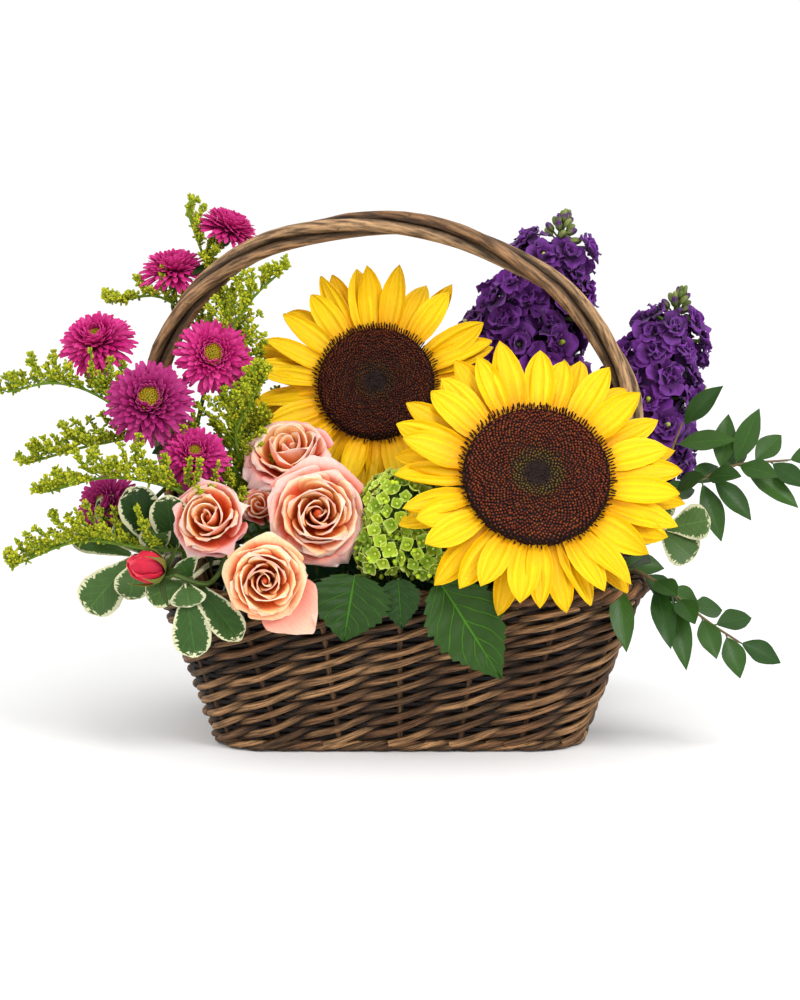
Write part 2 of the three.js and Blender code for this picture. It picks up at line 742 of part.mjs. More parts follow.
// A side stem from a bloom's neck onto a main stem, where it ends inside it.
function sideStem(neck, away, main, radius, sides = 4) {
  for (const reach of [0.35, 0.2, 0.5, 0.1])
    for (const t of [0.35, 0.45, 0.55, 0.25, 0.65, 0.75, 0.15, 0.85])
      for (const bow of NUDGES) {
        const target = main.at(t);
        const bend = neck.clone().addScaledVector(away, neck.distanceTo(target) * reach).add(bow);
        const curve = curveThrough([neck, bend, target]);
        const made = (extra) => solid(rod(curve, () => radius + extra, sides, 3));
        const hole = made(GAP);
        if (!clear(hole)) continue;
        if (!foamBlock.intersect(hole).isEmpty()) stemHoles.push(hole);
        return made(0);
      }
  throw new Error("no clear way for a side stem from " + neck.toArray().map(Math.round));
}

// A branched stem: the first bloom's stem is the main one, and the others join it.
const LEADER_BEND = 14; // how far below its neck the main stem starts to bend
const SIDE_SHARE = 0.8; // a side stem's radius as a share of the main one's
function branched(heads, end, radius, steps = 7) {
  const [leader, ...rest] = heads;
  const bend = leader.neck.clone().addScaledVector(leader.away, LEADER_BEND);
  const main = stemTo(end, [leader.neck, bend], radius, { steps });
  const parts = [main.body, leader.collar];
  for (const { neck, away, collar, thin } of rest)
    parts.push(collar, sideStem(neck, away, main.line, thin ?? radius * SIDE_SHARE));
  return joined(parts);
}

// The calyx of a rose: five pointed sepals under the bloom, as one star-shaped cup on the stem.
function calyx({ reach, rise, stem, depth }) {
  const points = 10;
  const star = Array.from({ length: points }, (_, i) => {
    const a = (i / points) * Math.PI * 2;
    const r = i % 2 ? reach : 3.2;
    return v3(r * Math.cos(a), r * Math.sin(a), i % 2 ? rise : -1.4);
  });
  const circle = (r, z) => star.map((p) => v3(p.x, p.y, 0).setLength(r).setZ(z));
  return solid(loft([circle(stem, -depth), star, circle(2, 0)]));
}

// The small green cup under an aster.
const asterCup = solid(
  new THREE.LatheGeometry(
    [
      [0, -6],
      [1.3, -6],
      [4.6, -2],
      [4.2, 0],
      [0, 0],
    ].map(([r, z]) => new THREE.Vector2(r, z)),
    5,
  ).rotateX(Math.PI / 2),
);

// A collar set below a bloom: drop is the depth of the bloom and depth that of the collar itself.
function collarUnder({ at, axis }, collar, drop, depth) {
  const dir = axis.clone().normalize();
  const top = at.clone().addScaledVector(dir, -drop - GAP);
  return {
    collar: collar.transform(facing(top, dir).elements),
    neck: top.clone().addScaledVector(dir, -depth + 0.6),
    away: dir.clone().negate(),
  };
}

// ---------------------------------------------------------------- the blooms and their stems, in place

const turned = (body, { at, axis }, spin = 0) => body.transform(facing(at, axis, spin).elements);

for (const flower of SUNFLOWERS) {
  place(flower.name + "_petals", turned(sunflowerRays(flower), flower), YELLOW);
  place(flower.name + "_disc", turned(sunflowerDisc(flower), flower), DISC_BROWN);
}
ROSES.forEach((rose, i) => place(`rose_${i + 1}`, turned(roseBloom(rose), rose), ROSE_PEACH));
place("rose_bud", turned(roseBud(ROSE_BUD), ROSE_BUD), BUD_RED);
ASTERS.forEach((aster, i) => {
  place(`aster_${i + 1}_petals`, turned(asterPetals(aster, 50 + i), aster, i), MAGENTA);
  place(`aster_${i + 1}_centre`, turned(asterCentre(aster), aster, i), CENTRE_YELLOW);
});

for (const flower of SUNFLOWERS) {
  const back = turned(sunflowerReceptacle(flower), flower);
  const depth = SUNFLOWER.hub + GAP + SUNFLOWER.receptacle - 1;
  const neck = flower.at.clone().addScaledVector(flower.axis, -depth);
  const bend = neck.clone().addScaledVector(flower.axis, -10);
  const { body } = stemTo(flower.cut, [neck, bend], SUNFLOWER.stem, { sides: 6 });
  place(flower.name + "_stem", joined([back, body]), STEM_GREEN);
}

const CALYX_DEPTH = 6;
const roseHead = (rose) => {
  const sepals = { reach: rose.radius * 0.6, rise: rose.radius * 0.05, stem: 1.8, depth: CALYX_DEPTH };
  return collarUnder(rose, calyx(sepals), rose.radius * ROSE.depth, CALYX_DEPTH);
};
const budSepals = { reach: 8, rise: -1, stem: 1.6, depth: CALYX_DEPTH };
const budHead = { ...collarUnder(ROSE_BUD, calyx(budSepals), 0, CALYX_DEPTH), thin: 1.5 };
const [topRose, frontRose, leftRose, lowRose, hiddenRose] = ROSES.map(roseHead);
place("rose_stem_1", branched([topRose, frontRose, hiddenRose], v3(-56, -24, 82), 2.2), STEM_GREEN);
place("rose_stem_2", branched([leftRose, lowRose, budHead], v3(-64, -34, 88), 2.2), STEM_GREEN);

const ASTER_CUP_DEPTH = 6;
const asterHead = (aster) => collarUnder(aster, asterCup, ASTER.base, ASTER_CUP_DEPTH);
place("aster_stem_1", branched([ASTERS[0], ASTERS[1]].map(asterHead), v3(-56, 22, 82), 1.5, 9), STEM_GREEN);
place(
  "aster_stem_2",
  branched([ASTERS[4], ASTERS[2], ASTERS[3], ASTERS[5], ASTERS[6]].map(asterHead), v3(-66, -8, 82), 1.6, 8),
  STEM_GREEN,
);

// ---------------------------------------------------------------- foliage and fillers

// The first of several tries at a piece that is clear of all that is in place, or null.
function firstClear(tries, make) {
  for (const one of tries) {
    const test = make(one, GAP);
    if (clear(test) && foamBlock.intersect(test).isEmpty()) return make(one, 0);
  }
  return null;
}

// A leaf from its root to its tip, with its upper side towards face. It starts a little behind its root,
// and grow makes it larger all round for a test of its clearance.
const ROOT_SINK = 0.6;
function leaf({ root, tip, width, face, grow = 0, ...shape }) {
  const along = tip.clone().sub(root).normalize();
  const start = root.clone().addScaledVector(along, -ROOT_SINK);
  const length = tip.distanceTo(start) + grow;
  const side = face.clone().cross(along).normalize();
  const up = along.clone().cross(side);
  const matrix = new THREE.Matrix4().makeBasis(along, side, up).setPosition(start);
  const { thickness = 0.9 } = shape;
  const sized = { ...shape, length, width: width + grow * 2, thickness: thickness + grow * 2 };
  return solid(blade(sized), matrix);
}

// A leaf with its tip nudged until it is clear.
function clearLeaf(options) {
  return firstClear(NUDGES, (nudge, grow) =>
    leaf({ ...options, tip: options.tip.clone().add(nudge), grow }),
  );
}

// A small flower as a double pyramid with a lobed edge: lobes lists the radii round one petal.
function floret(size, lobes, petals, rise = 0.15) {
  const count = lobes.length * petals;
  const edge = Array.from({ length: count }, (_, i) => {
    const a = (i / count) * Math.PI * 2;
    const r = size * lobes[i % lobes.length];
    return v3(r * Math.cos(a), r * Math.sin(a), 0);
  });
  return loft([[v3(0, 0, -FLORET.root * size)], edge, [v3(0, 0, rise * size)]]);
}

// The green hydrangea: three lumps of four-petalled florets, on one stem with its toothed leaves. backMost
// keeps florets off the side of a lump where the stem passes.
const HYDRANGEA_LUMPS = [
  { at: v3(3, -75, 139), radius: 19, florets: 12, backMost: 1 },
  { at: v3(15, -91, 120), radius: 11, florets: 8, backMost: 0.2 },
  { at: v3(-9, -86, 120), radius: 10, florets: 6, backMost: 0.2 },
];
const HYDRANGEA_LEAVES = [
  { root: v3(-25, -105, 108), tip: v3(-31, -114, 73), width: 42, teeth: 5 },
  { root: v3(22, -108, 105), tip: v3(56, -115, 52), width: 40, teeth: 5 },
  { root: v3(-1, -106, 106), tip: v3(1, -114, 80), width: 20, teeth: 4 },
];
function hydrangeaHead() {
  const parts = HYDRANGEA_LUMPS.map(({ at, radius }) =>
    solid(new THREE.SphereGeometry(radius, 6, 4), new THREE.Matrix4().makeTranslation(...at.toArray())),
  );
  const lobes = [1, 0.55];
  const covered = 1.45; // share of the lump's half height that the florets cover, from its top
  for (const { at, radius, florets, backMost } of HYDRANGEA_LUMPS)
    for (let i = 0; i < florets; i++) {
      const z = 1 - ((i + 0.5) / florets) * covered;
      const across = Math.sqrt(1 - z * z);
      const axis = v3(Math.cos(i * GOLDEN_ANGLE) * across, Math.sin(i * GOLDEN_ANGLE) * across, z);
      if (axis.y > backMost) continue;
      const heights = [3, 1.5, 0];
      const one = firstClear(heights, (height, grow) => {
        const middle = at.clone().addScaledVector(axis, radius + height);
        return solid(floret(HYDRANGEA.floret + grow, lobes, 4), facing(middle, axis, i));
      });
      if (one) parts.push(one);
    }
  return joined(parts);
}
function hydrangeaStem() {
  const neck = v3(...HYDRANGEA.neck);
  const bend = neck.clone().add(v3(-1, 3, -8.6));
  const { line, body } = stemTo(v3(...HYDRANGEA.cut), [neck, bend], HYDRANGEA.stem, { steps: 4 });
  const parts = [body];
  for (const { root, tip, width, teeth } of HYDRANGEA_LEAVES) {
    const inwards = v3(neck.x - root.x, neck.y + 9 - root.y, 0).normalize();
    parts.push(sideStem(root, inwards.setZ(-0.1), line, 1));
    const outline = serrated(teeth, (t) => Math.sin(Math.PI * Math.min(1, t * 0.86 + 0.1)) ** 0.7);
    const made = clearLeaf({ root, tip, width, face: v3(0, -1, 0.3), droop: -3, cup: 0.12, outline });
    if (made) parts.push(made);
  }
  return joined(parts);
}
place("hydrangea_florets", hydrangeaHead(), LIME);
place("hydrangea_stem", hydrangeaStem(), LEAF_GREEN);

// Stocks: double florets round a straight spike whose stem runs through the middle, with buds at the top.
// core is the share of the spike between base and tip that a smaller core fills.
const STOCKS = [
  {
    base: v3(66, 45, 186),
    tip: v3(99, 52, 297),
    cut: v3(44, 30, 82),
    florets: 14,
    size: 19,
    spread: 29,
    core: [0.06, 0.8],
  },
  {
    base: v3(137, 36, 152),
    tip: v3(168, 40, 252),
    cut: v3(68, 26, 84),
    florets: 11,
    size: 16,
    spread: 19,
    core: [0.12, 0.8],
  },
];
function stockFlowers({ base, tip, florets, size, spread, core }) {
  const axis = tip.clone().sub(base);
  const along = axis.clone().normalize();
  const sides = 7;
  const ringAt = (r, share) => {
    const place = facing(base.clone().addScaledVector(axis, share), along);
    return Array.from({ length: sides }, (_, i) => {
      const a = (i / sides) * Math.PI * 2;
      return v3(r * Math.cos(a), r * Math.sin(a), 0).applyMatrix4(place);
    });
  };
  const upright = new THREE.Quaternion().setFromUnitVectors(v3(0, 0, 1), along);
  const inner = STOCK_STEM + 1.2;
  const thick = spread - size * 0.42;
  const [from, to] = core;
  const tube = [ringAt(inner, from), ringAt(thick, from), ringAt(thick * 0.5, to), ringAt(inner, to)];
  const parts = [solid(loft(tube, { endless: true }))];
  for (let i = 0; i < florets; i++) {
    const t = i / (florets - 1);
    const a = i * GOLDEN_ANGLE;
    const radial = v3(Math.cos(a), Math.sin(a), 0).applyQuaternion(upright);
    const out = radial.clone().addScaledVector(along, lerp(0.15, 1.1, t)).normalize();
    const middle = base.clone().addScaledVector(axis, lerp(from + 0.06, to - 0.04, t));
    const full = size * lerp(1, 0.7, t);
    const tries = [0, 4, 8].flatMap((less) => [
      { less, r: full },
      { less, r: full * 0.85 },
    ]);
    const one = firstClear(tries, ({ less, r }, grow) => {
      const nearest = (r + 2) * FLORET.root + STOCK_STEM + GAP;
      const reach = Math.max(lerp(spread, spread * 0.55, t) - less, nearest);
      const centre = middle.clone().addScaledVector(radial, reach);
      return solid(floret(r + grow, [1, 0.66], 4, 0.3), facing(centre, out, i));
    });
    if (one) parts.push(one);
  }
  return joined(parts);
}
function stockStem({ base, tip, cut }) {
  const axis = tip.clone().sub(base).normalize();
  const bend = base.clone().addScaledVector(axis, -12);
  const parts = [solid(rod(new THREE.LineCurve3(tip, base), () => STOCK_STEM, 5, 1))];
  parts.push(stemTo(cut, [base, bend], STOCK_STEM + 0.3, { steps: 6 }).body);
  const buds = 7;
  for (let i = 0; i < buds; i++) {
    const a = i * GOLDEN_ANGLE;
    const root = tip.clone().addScaledVector(axis, 1 - i * 2.4);
    const side = v3(Math.cos(a), Math.sin(a), 0).addScaledVector(axis, 1.1 - i * 0.04).normalize();
    const bud = new THREE.OctahedronGeometry(1).scale(3, 3, 5.4).translate(0, 0, 4);
    const one = firstClear([1, 0.75, 0.5], (size, grow) => {
      const across = size + grow / 5;
      return solid(bud.clone().scale(across, across, size), facing(root, side, i));
    });
    if (one) parts.push(one);
  }
  return joined(parts);
}
STOCKS.forEach((stock, i) => {
  place(`stock_${i + 1}_flowers`, stockFlowers(stock), PURPLE);
  place(`stock_${i + 1}_stem`, stockStem(stock), STEM_GREEN);
});

// Goldenrod: arching stems from tip to cut end, their upper parts set with beaded side twigs.
const frond = (twigs, cut, ...way) => ({ twigs, cut: v3(...cut), way: way.map((p) => v3(...p)) });
const GOLDENROD = [
  frond(9, [-70, -14, 84], [-228, -15, 200], [-197, -20, 206], [-165, -25, 194], [-110, -24, 150]),
  frond(9, [-66, -22, 84], [-213, -40, 162], [-172, -40, 173], [-137, -40, 175], [-96, -34, 146]),
  frond(9, [-62, -30, 84], [-197, -84, 152], [-162, -84, 160], [-126, -76, 152], [-92, -50, 128]),
  frond(9, [-68, -38, 90], [-215, -84, 111], [-179, -84, 124], [-143, -80, 119], [-108, -62, 112]),
  frond(6, [-36, -6, 82], [-68, -26, 271], [-87, -28, 252], [-98, -28, 226], [-84, -18, 160]),
  frond(6, [-46, 30, 82], [-125, 25, 302], [-121, 26, 285], [-108, 26, 248], [-80, 28, 160]),
  frond(6, [-66, 12, 82], [-168, 12, 250], [-140, 16, 252], [-116, 20, 226], [-90, 20, 150]),
  frond(5, [-50, -10, 82], [-77, -46, 212], [-82, -46, 196], [-90, -40, 172], [-74, -24, 130]),
];

// A side twig of goldenrod: a three-sided spindle that swells where its buds are and bends to its tip.
function budTwig({ from, along, across, angle, length, spin }, grow) {
  const side = across.clone().applyAxisAngle(along, angle);
  const root = from.clone().addScaledVector(side, -ROOT_SINK);
  const middle = from.clone().addScaledVector(along, length * 0.5).addScaledVector(side, length * 0.42);
  const tip = middle.clone().addScaledVector(along, length * 0.42).addScaledVector(side, length * 0.36);
  const bead = (centre, r) =>
    [0, 1, 2].map((corner) => {
      const a = (corner / 3) * Math.PI * 2 + spin;
      return centre
        .clone()
        .addScaledVector(side, Math.cos(a) * (r + grow))
        .addScaledVector(across, Math.sin(a) * (r + grow));
    });
  const low = bead(from.clone().lerp(middle, 0.7), GOLDENROD_TWIG.lowBead);
  const high = bead(middle.clone().lerp(tip, 0.5), GOLDENROD_TWIG.highBead);
  return solid(loft([[root], low, high, [tip]]));
}

function goldenrod({ cut, way, twigs }, seed) {
  const random = seeded(seed);
  const { line, body } = stemTo(cut, way, 1.3, { sides: 3, steps: 6, tip: 0.55 });
  const { shortest, longest } = GOLDENROD_TWIG;
  const parts = [body];
  for (let i = 0; i < twigs; i++) {
    const t = 0.03 + (0.42 * i) / twigs;
    const along = line.along(t);
    const across = v3(0, 0, 1).cross(along).normalize();
    const reach = lerp(shortest, longest, i / twigs) * (1 + sway(random, 0.12));
    const tries = [1, 0.7, 0.45].flatMap((share) =>
      [0, 0.6, -0.6, 1.2, -1.2, 2, 3].map((swing) => ({ length: reach * share, angle: i * 2.3 + swing })),
    );
    const twig = firstClear(tries, ({ length, angle }, grow) =>
      budTwig({ from: line.at(t), along, across, angle, length, spin: i }, grow),
    );
    if (twig) parts.push(twig);
  }
  return joined(parts);
}
GOLDENROD.forEach((one, i) => place(`goldenrod_${i + 1}`, goldenrod(one, 70 + i), GOLDENROD_GREEN));

// Myrtle: sprigs from tip to cut end, with oval leaves on alternate sides of their outer part.
const sprig = (cut, ...way) => ({ cut: v3(...cut), way: way.map((p) => v3(...p)) });
const MYRTLE = [
  sprig([60, -6, 84], [224, -30, 162], [193, -30, 159], [168, -30, 148], [140, -28, 138], [100, -18, 122]),
  sprig([66, -26, 90], [190, -92, 68], [172, -92, 80], [149, -90, 98], [131, -78, 107], [98, -52, 114]),
];
function myrtle({ cut, way }, seed) {
  const random = seeded(seed);
  const { line, body } = stemTo(cut, way, 1.1, { sides: 4, steps: 8, tip: 0.6 });
  const { length, width, pairs, leafy } = MYRTLE_LEAF;
  const parts = [body];
  for (let i = 0; i < pairs; i++) {
    const t = (leafy * i) / pairs;
    const root = line.at(t + 0.004);
    const along = line.along(t);
    const across = v3(0, -1, 0.5).cross(along).normalize();
    const face = v3(sway(random, 0.4), -0.8, 0.6);
    const open = i === 0 ? 0.1 : 0.72; // the first leaf ends the sprig
    const tries = [1, 0.8, 0.6].flatMap((size) =>
      [0, 0.5, -0.5, 1, -1, 1.6, -1.6, 3].map((swing) => ({ size, angle: i * Math.PI * 0.94 + swing })),
    );
    const one = firstClear(tries, ({ size, angle }, grow) => {
      const side = across.clone().applyAxisAngle(along, angle);
      const out = along.clone().multiplyScalar(1 - open * 0.4).addScaledVector(side, open).normalize();
      const tip = root.clone().addScaledVector(out, length * size);
      return leaf({ root, tip, width: width * size, face, cup: 0.2, outline: LANCE, grow });
    });
    if (one) parts.push(one);
  }
  return joined(parts);
}
MYRTLE.forEach((one, i) => place(`myrtle_${i + 1}`, myrtle(one, 90 + i), LEAF_GREEN));

// Variegated pittosporum. leaves lists [share of the way from the tip, tip of the leaf, width].
const PITTOSPORUM = [
  {
    cut: [-70, -16, 92],
    way: [[-119, -107, 104], [-114, -92, 106], [-102, -64, 108]],
    leaves: [
      [0, [-113, -114, 64], 19],
      [0.02, [-116, -113, 92], 17],
      [0.1, [-84, -113, 78], 16],
      [0.05, [-140, -108, 96], 16],
      [0.1, [-122, -104, 116], 16],
    ],
  },
  {
    cut: [-68, -28, 92],
    way: [[-150, -76, 114], [-132, -70, 113], [-104, -54, 112]],
    leaves: [
      [0, [-176, -86, 84], 22],
      [0.04, [-152, -92, 92], 17],
      [0.08, [-160, -74, 134], 15],
      [0.16, [-128, -80, 133], 16],
      [0, [-186, -70, 124], 14],
    ],
  },
  {
    cut: [68, -18, 90],
    way: [[152, -44, 124], [132, -40, 120], [100, -30, 114]],
    leaves: [
      [0, [178, -47, 130], 18],
      [0.03, [168, -52, 108], 19],
      [0.1, [152, -50, 146], 16],
      [0.16, [134, -60, 118], 16],
    ],
  },
  {
    cut: [-34, 38, 90],
    way: [[-60, 104, 107], [-52, 82, 114]],
    leaves: [
      [0, [-98, 114, 92], 24],
      [0.02, [-54, 118, 68], 24],
      [0.12, [-20, 110, 100], 22],
      [0.2, [-80, 98, 142], 23],
      [0.3, [-30, 92, 144], 22],
      [0.4, [-94, 66, 132], 22],
    ],
  },
  {
    cut: [30, 38, 90],
    way: [[62, 104, 108], [52, 80, 115]],
    leaves: [
      [0, [100, 113, 90], 24],
      [0.02, [54, 118, 68], 24],
      [0.12, [20, 108, 104], 22],
      [0.2, [84, 94, 138], 23],
      [0.3, [18, 88, 142], 22],
      [0.4, [100, 62, 128], 22],
    ],
  },
];
const WAVED_OVAL = [
  [0, 0],
  [0.3, 0.85],
  [0.58, 1],
  [0.85, 0.62],
];
function pittosporum({ cut, way, leaves }) {
  const points = way.map((p) => v3(...p));
  const { line, body } = stemTo(v3(...cut), points, 1.5, { sides: 4, steps: 5, tip: 0.7 });
  const parts = [body];
  for (const [share, tip, width] of leaves) {
    const root = line.at(share + 0.004);
    const face = v3(0, cut[1] > 0 ? 0.9 : -0.9, 0.5);
    const bends = { wave: 0.7, cup: 0.1 };
    const one = clearLeaf({ root, tip: v3(...tip), width, face, ...bends, outline: WAVED_OVAL });
    if (one) parts.push(one);
  }
  return joined(parts);
}
PITTOSPORUM.forEach((one, i) => place(`pittosporum_${i + 1}`, pittosporum(one), LEAF_GREEN));

place("floral_foam", foamBlock.subtract(wasm.Manifold.union(stemHoles)).simplify(SLIVER), FOAM_GREEN);

export default group;
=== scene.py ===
"""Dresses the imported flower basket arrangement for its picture.

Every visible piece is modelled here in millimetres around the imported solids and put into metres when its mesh
is made. A blade, a bud and a rod are each modelled once with Blender's own mesh operators. Copies of them are
bent into petals, leaves, florets and willow, and gathered into one mesh for each piece of the arrangement.
"""

import json
import logging
import math
from collections.abc import Callable, Iterable, Sequence
from dataclasses import dataclass, field
from enum import Enum
from functools import lru_cache

import bmesh
import bpy
import numpy as np
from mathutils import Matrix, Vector

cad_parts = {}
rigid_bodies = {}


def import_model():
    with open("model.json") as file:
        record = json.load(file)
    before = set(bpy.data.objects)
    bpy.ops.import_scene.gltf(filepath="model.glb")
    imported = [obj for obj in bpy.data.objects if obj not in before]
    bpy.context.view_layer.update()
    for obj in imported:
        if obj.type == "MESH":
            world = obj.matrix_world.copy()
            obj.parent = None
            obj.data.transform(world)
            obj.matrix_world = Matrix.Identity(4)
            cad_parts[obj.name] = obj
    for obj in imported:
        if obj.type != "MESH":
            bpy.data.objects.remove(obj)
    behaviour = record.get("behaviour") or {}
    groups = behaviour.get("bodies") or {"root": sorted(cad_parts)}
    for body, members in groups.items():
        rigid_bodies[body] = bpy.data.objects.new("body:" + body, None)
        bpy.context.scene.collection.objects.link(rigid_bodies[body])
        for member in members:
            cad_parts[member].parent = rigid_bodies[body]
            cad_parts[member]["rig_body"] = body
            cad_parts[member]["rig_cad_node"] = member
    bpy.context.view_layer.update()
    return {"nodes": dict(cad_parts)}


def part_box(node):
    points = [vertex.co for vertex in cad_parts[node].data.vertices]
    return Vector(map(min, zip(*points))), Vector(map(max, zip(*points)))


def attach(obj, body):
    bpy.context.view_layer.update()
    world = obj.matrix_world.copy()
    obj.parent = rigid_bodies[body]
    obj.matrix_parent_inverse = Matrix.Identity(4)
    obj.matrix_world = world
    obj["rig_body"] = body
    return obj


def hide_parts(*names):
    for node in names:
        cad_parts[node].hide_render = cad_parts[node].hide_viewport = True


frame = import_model()

LOG = logging.getLogger("flower_basket")
MM = 0.001
BODY = "root"
TINT = "Tint"
GOLDEN_ANGLE = math.pi * (3 - math.sqrt(5))
TURN = 2 * math.pi
UP = (0.0, 0.0, 1.0)

Array = np.ndarray
Point = tuple[float, float, float]
Colour = tuple[float, float, float]
Outline = Sequence[tuple[float, float]]
Socket = bpy.types.NodeSocket


# ---------------------------------------------------------------- small tools


def shade(red: float, green: float, blue: float) -> Colour:
    """A colour as a maker reads it from a chart, from 0 to 255 each.

    Args:
        red: the red share.
        green: the green share.
        blue: the blue share.

    Returns:
        The same colour with linear light values.
    """
    values = (red / 255, green / 255, blue / 255)
    return tuple(c / 12.92 if c <= 0.04045 else ((c + 0.055) / 1.055) ** 2.4 for c in values)


def blend(a: object, b: object, share: object) -> Array:
    """Mixes two points or colours, or a row of them for each share.

    Args:
        a: what share 0 gives.
        b: what share 1 gives.
        share: one share, or one for each row.

    Returns:
        The mixed point or colour, or one a row.
    """
    part = np.clip(np.asarray(share, float), 0, 1)
    first, second = np.asarray(a, float), np.asarray(b, float)
    return first + (second - first) * (part[:, None] if part.ndim else part)


def smooth(low: float, high: float, value: object) -> Array:
    """A soft step from 0 at low to 1 at high."""
    t = np.clip((np.asarray(value, float) - low) / (high - low), 0, 1)
    return t * t * (3 - 2 * t)


def unit(v: object) -> Array:
    """The vector, or each row, at length 1."""
    a = np.asarray(v, float)
    return a / np.maximum(np.linalg.norm(a, axis=-1, keepdims=True), 1e-12)


def direction(azimuth: float, elevation: float) -> Array:
    """The direction with this azimuth and elevation in degrees, azimuth 0 being towards the front."""
    a, e = math.radians(azimuth), math.radians(elevation)
    return np.array([math.sin(a) * math.cos(e), -math.cos(a) * math.cos(e), math.sin(e)])


def turned(points: Array, at: object, axis: object, spin: float = 0.0) -> Array:
    """Moves points so that their own +Z lies along an axis.

    Args:
        points: the points, in their own frame.
        at: where their origin goes.
        axis: where their +Z goes.
        spin: a turn about their own +Z before that.

    Returns:
        The moved points.
    """
    z = unit(axis)
    helper = np.array([0.0, 1.0, 0.0]) if abs(z[1]) < 0.9 else np.array([1.0, 0.0, 0.0])
    x = unit(np.cross(helper, z))
    y = np.cross(z, x)
    c, s = math.cos(spin), math.sin(spin)
    basis = np.stack([x * c + y * s, y * c - x * s, z])
    return points @ basis + np.asarray(at, float)


def beside(axis: Array, angle: float) -> Array:
    """The direction square to an axis, at this angle round it."""
    return turned(np.array([math.cos(angle), math.sin(angle), 0.0]), (0, 0, 0), axis)


def spun(points: Array, angle: float) -> Array:
    """The points turned about +Z."""
    c, s = math.cos(angle), math.sin(angle)
    return points @ np.array([[c, s, 0], [-s, c, 0], [0, 0, 1]])


def curve_through(points: Sequence[Point], count: int) -> Array:
    """A smooth line through points, spaced evenly.

    Args:
        points: the points that it passes through.
        count: how many points to give.

    Returns:
        The line's points, one a row.
    """
    p = np.asarray(points, float)
    if len(p) == 2:
        return p[0] + (p[1] - p[0]) * np.linspace(0, 1, count)[:, None]
    p = np.vstack([2 * p[0] - p[1], p, 2 * p[-1] - p[-2]])
    steps = 24  # from each point to the next
    t = np.linspace(0, 1, steps, endpoint=False)[:, None]
    fine = []
    for a, b, c, d in zip(p, p[1:], p[2:], p[3:]):
        bend = (2 * a - 5 * b + 4 * c - d) * t**2 + (3 * b - a - 3 * c + d) * t**3
        fine.append(0.5 * (2 * b + (c - a) * t + bend))
    line = np.vstack([*fine, p[-2:-1]])
    length = np.concatenate([[0], np.cumsum(np.linalg.norm(np.diff(line, axis=0), axis=1))])
    wanted = np.linspace(0, length[-1], count)
    return np.stack([np.interp(wanted, length, line[:, k]) for k in range(3)], axis=1)


def at_share(line: Array, share: float) -> Array:
    """The point of an evenly spaced line at this share of its length."""
    place = share * (len(line) - 1)
    return np.array([np.interp(place, range(len(line)), line[:, k]) for k in range(3)])


def down(at: Point, axis: object, drop: float) -> Array:
    """The point this far back from another along an axis."""
    return np.asarray(at, float) - unit(axis) * drop


def directions_of(line: Array) -> Array:
    """The direction of a line at each of its points."""
    return unit(np.gradient(line, axis=0))


def only(obj: bpy.types.Object) -> None:
    """Makes one object the only selected one, and the active one."""
    bpy.ops.object.select_all(action="DESELECT")
    obj.select_set(True)
    bpy.context.view_layer.objects.active = obj


# ---------------------------------------------------------------- finishes


class Marking(Enum):
    """What a finish shows along or across its surface."""

    PLAIN = "plain"
    RIDGED = "ridged"  # fine lines along a petal, each crest with a painted highlight and each furrow with painted shade
    VEINED = "veined"  # a midrib with branching side veins
    EDGED = "edged"  # a midrib, and a ragged cream margin
    STREAKED = "streaked"  # bark, streaked along a rod


class Graph:
    """A short way to put a material's nodes together."""

    def __init__(self, material: bpy.types.Material) -> None:
        """Starts from the material's own nodes."""
        self.tree = material.node_tree
        self.shader = self.tree.nodes["Principled BSDF"]

    def link(self, value: object, socket: Socket) -> None:
        """Links a socket, or sets a number that isn't the shader's own."""
        if isinstance(value, Socket):
            self.tree.links.new(value, socket)
        else:
            socket.default_value = value

    def math(self, operation: str, a: object, b: object = 0.0, c: object = 0.0) -> Socket:
        """A number made from up to three others.

        Args:
            operation: the node's operation.
            a: the first number or socket.
            b: the second one.
            c: the third one.

        Returns:
            The socket with the result.
        """
        node = self.tree.nodes.new("ShaderNodeMath")
        node.operation = operation
        for value, socket in zip((a, b, c), node.inputs):
            self.link(value, socket)
        return node.outputs[0]

    def mix(self, share: object, a: object, b: object) -> Socket:
        """A colour between two others, by share."""
        node = self.tree.nodes.new("ShaderNodeMix")
        node.data_type = "RGBA"
        self.link(share, node.inputs["Factor"])
        self.link(a, node.inputs[6])
        self.link(b, node.inputs[7])
        return node.outputs[2]

    def scaled(self, colour: Socket, factor: Socket) -> Socket:
        """A colour made lighter or darker."""
        node = self.tree.nodes.new("ShaderNodeVectorMath")
        node.operation = "SCALE"
        self.link(colour, node.inputs[0])
        self.link(factor, node.inputs["Scale"])
        return node.outputs[0]

    def noise(self, vector: Socket, scale: float, detail: float = 3.0) -> Socket:
        """Cloudy noise between about 0 and 1."""
        node = self.tree.nodes.new("ShaderNodeTexNoise")
        node.inputs["Scale"].default_value = scale
        node.inputs["Detail"].default_value = detail
        self.link(vector, node.inputs["Vector"])
        return node.outputs[0]

    def step(self, low: float, high: float, value: Socket) -> Socket:
        """A soft step from 0 at low to 1 at high."""
        node = self.tree.nodes.new("ShaderNodeMapRange")
        node.interpolation_type = "SMOOTHSTEP"
        node.inputs["From Min"].default_value = low
        node.inputs["From Max"].default_value = high
        self.link(value, node.inputs["Value"])
        return node.outputs[0]

    def stretched(self, vector: Socket, scale: Point) -> Socket:
        """A vector with each part scaled."""
        node = self.tree.nodes.new("ShaderNodeMapping")
        node.inputs["Scale"].default_value = scale
        self.link(vector, node.inputs["Vector"])
        return node.outputs[0]


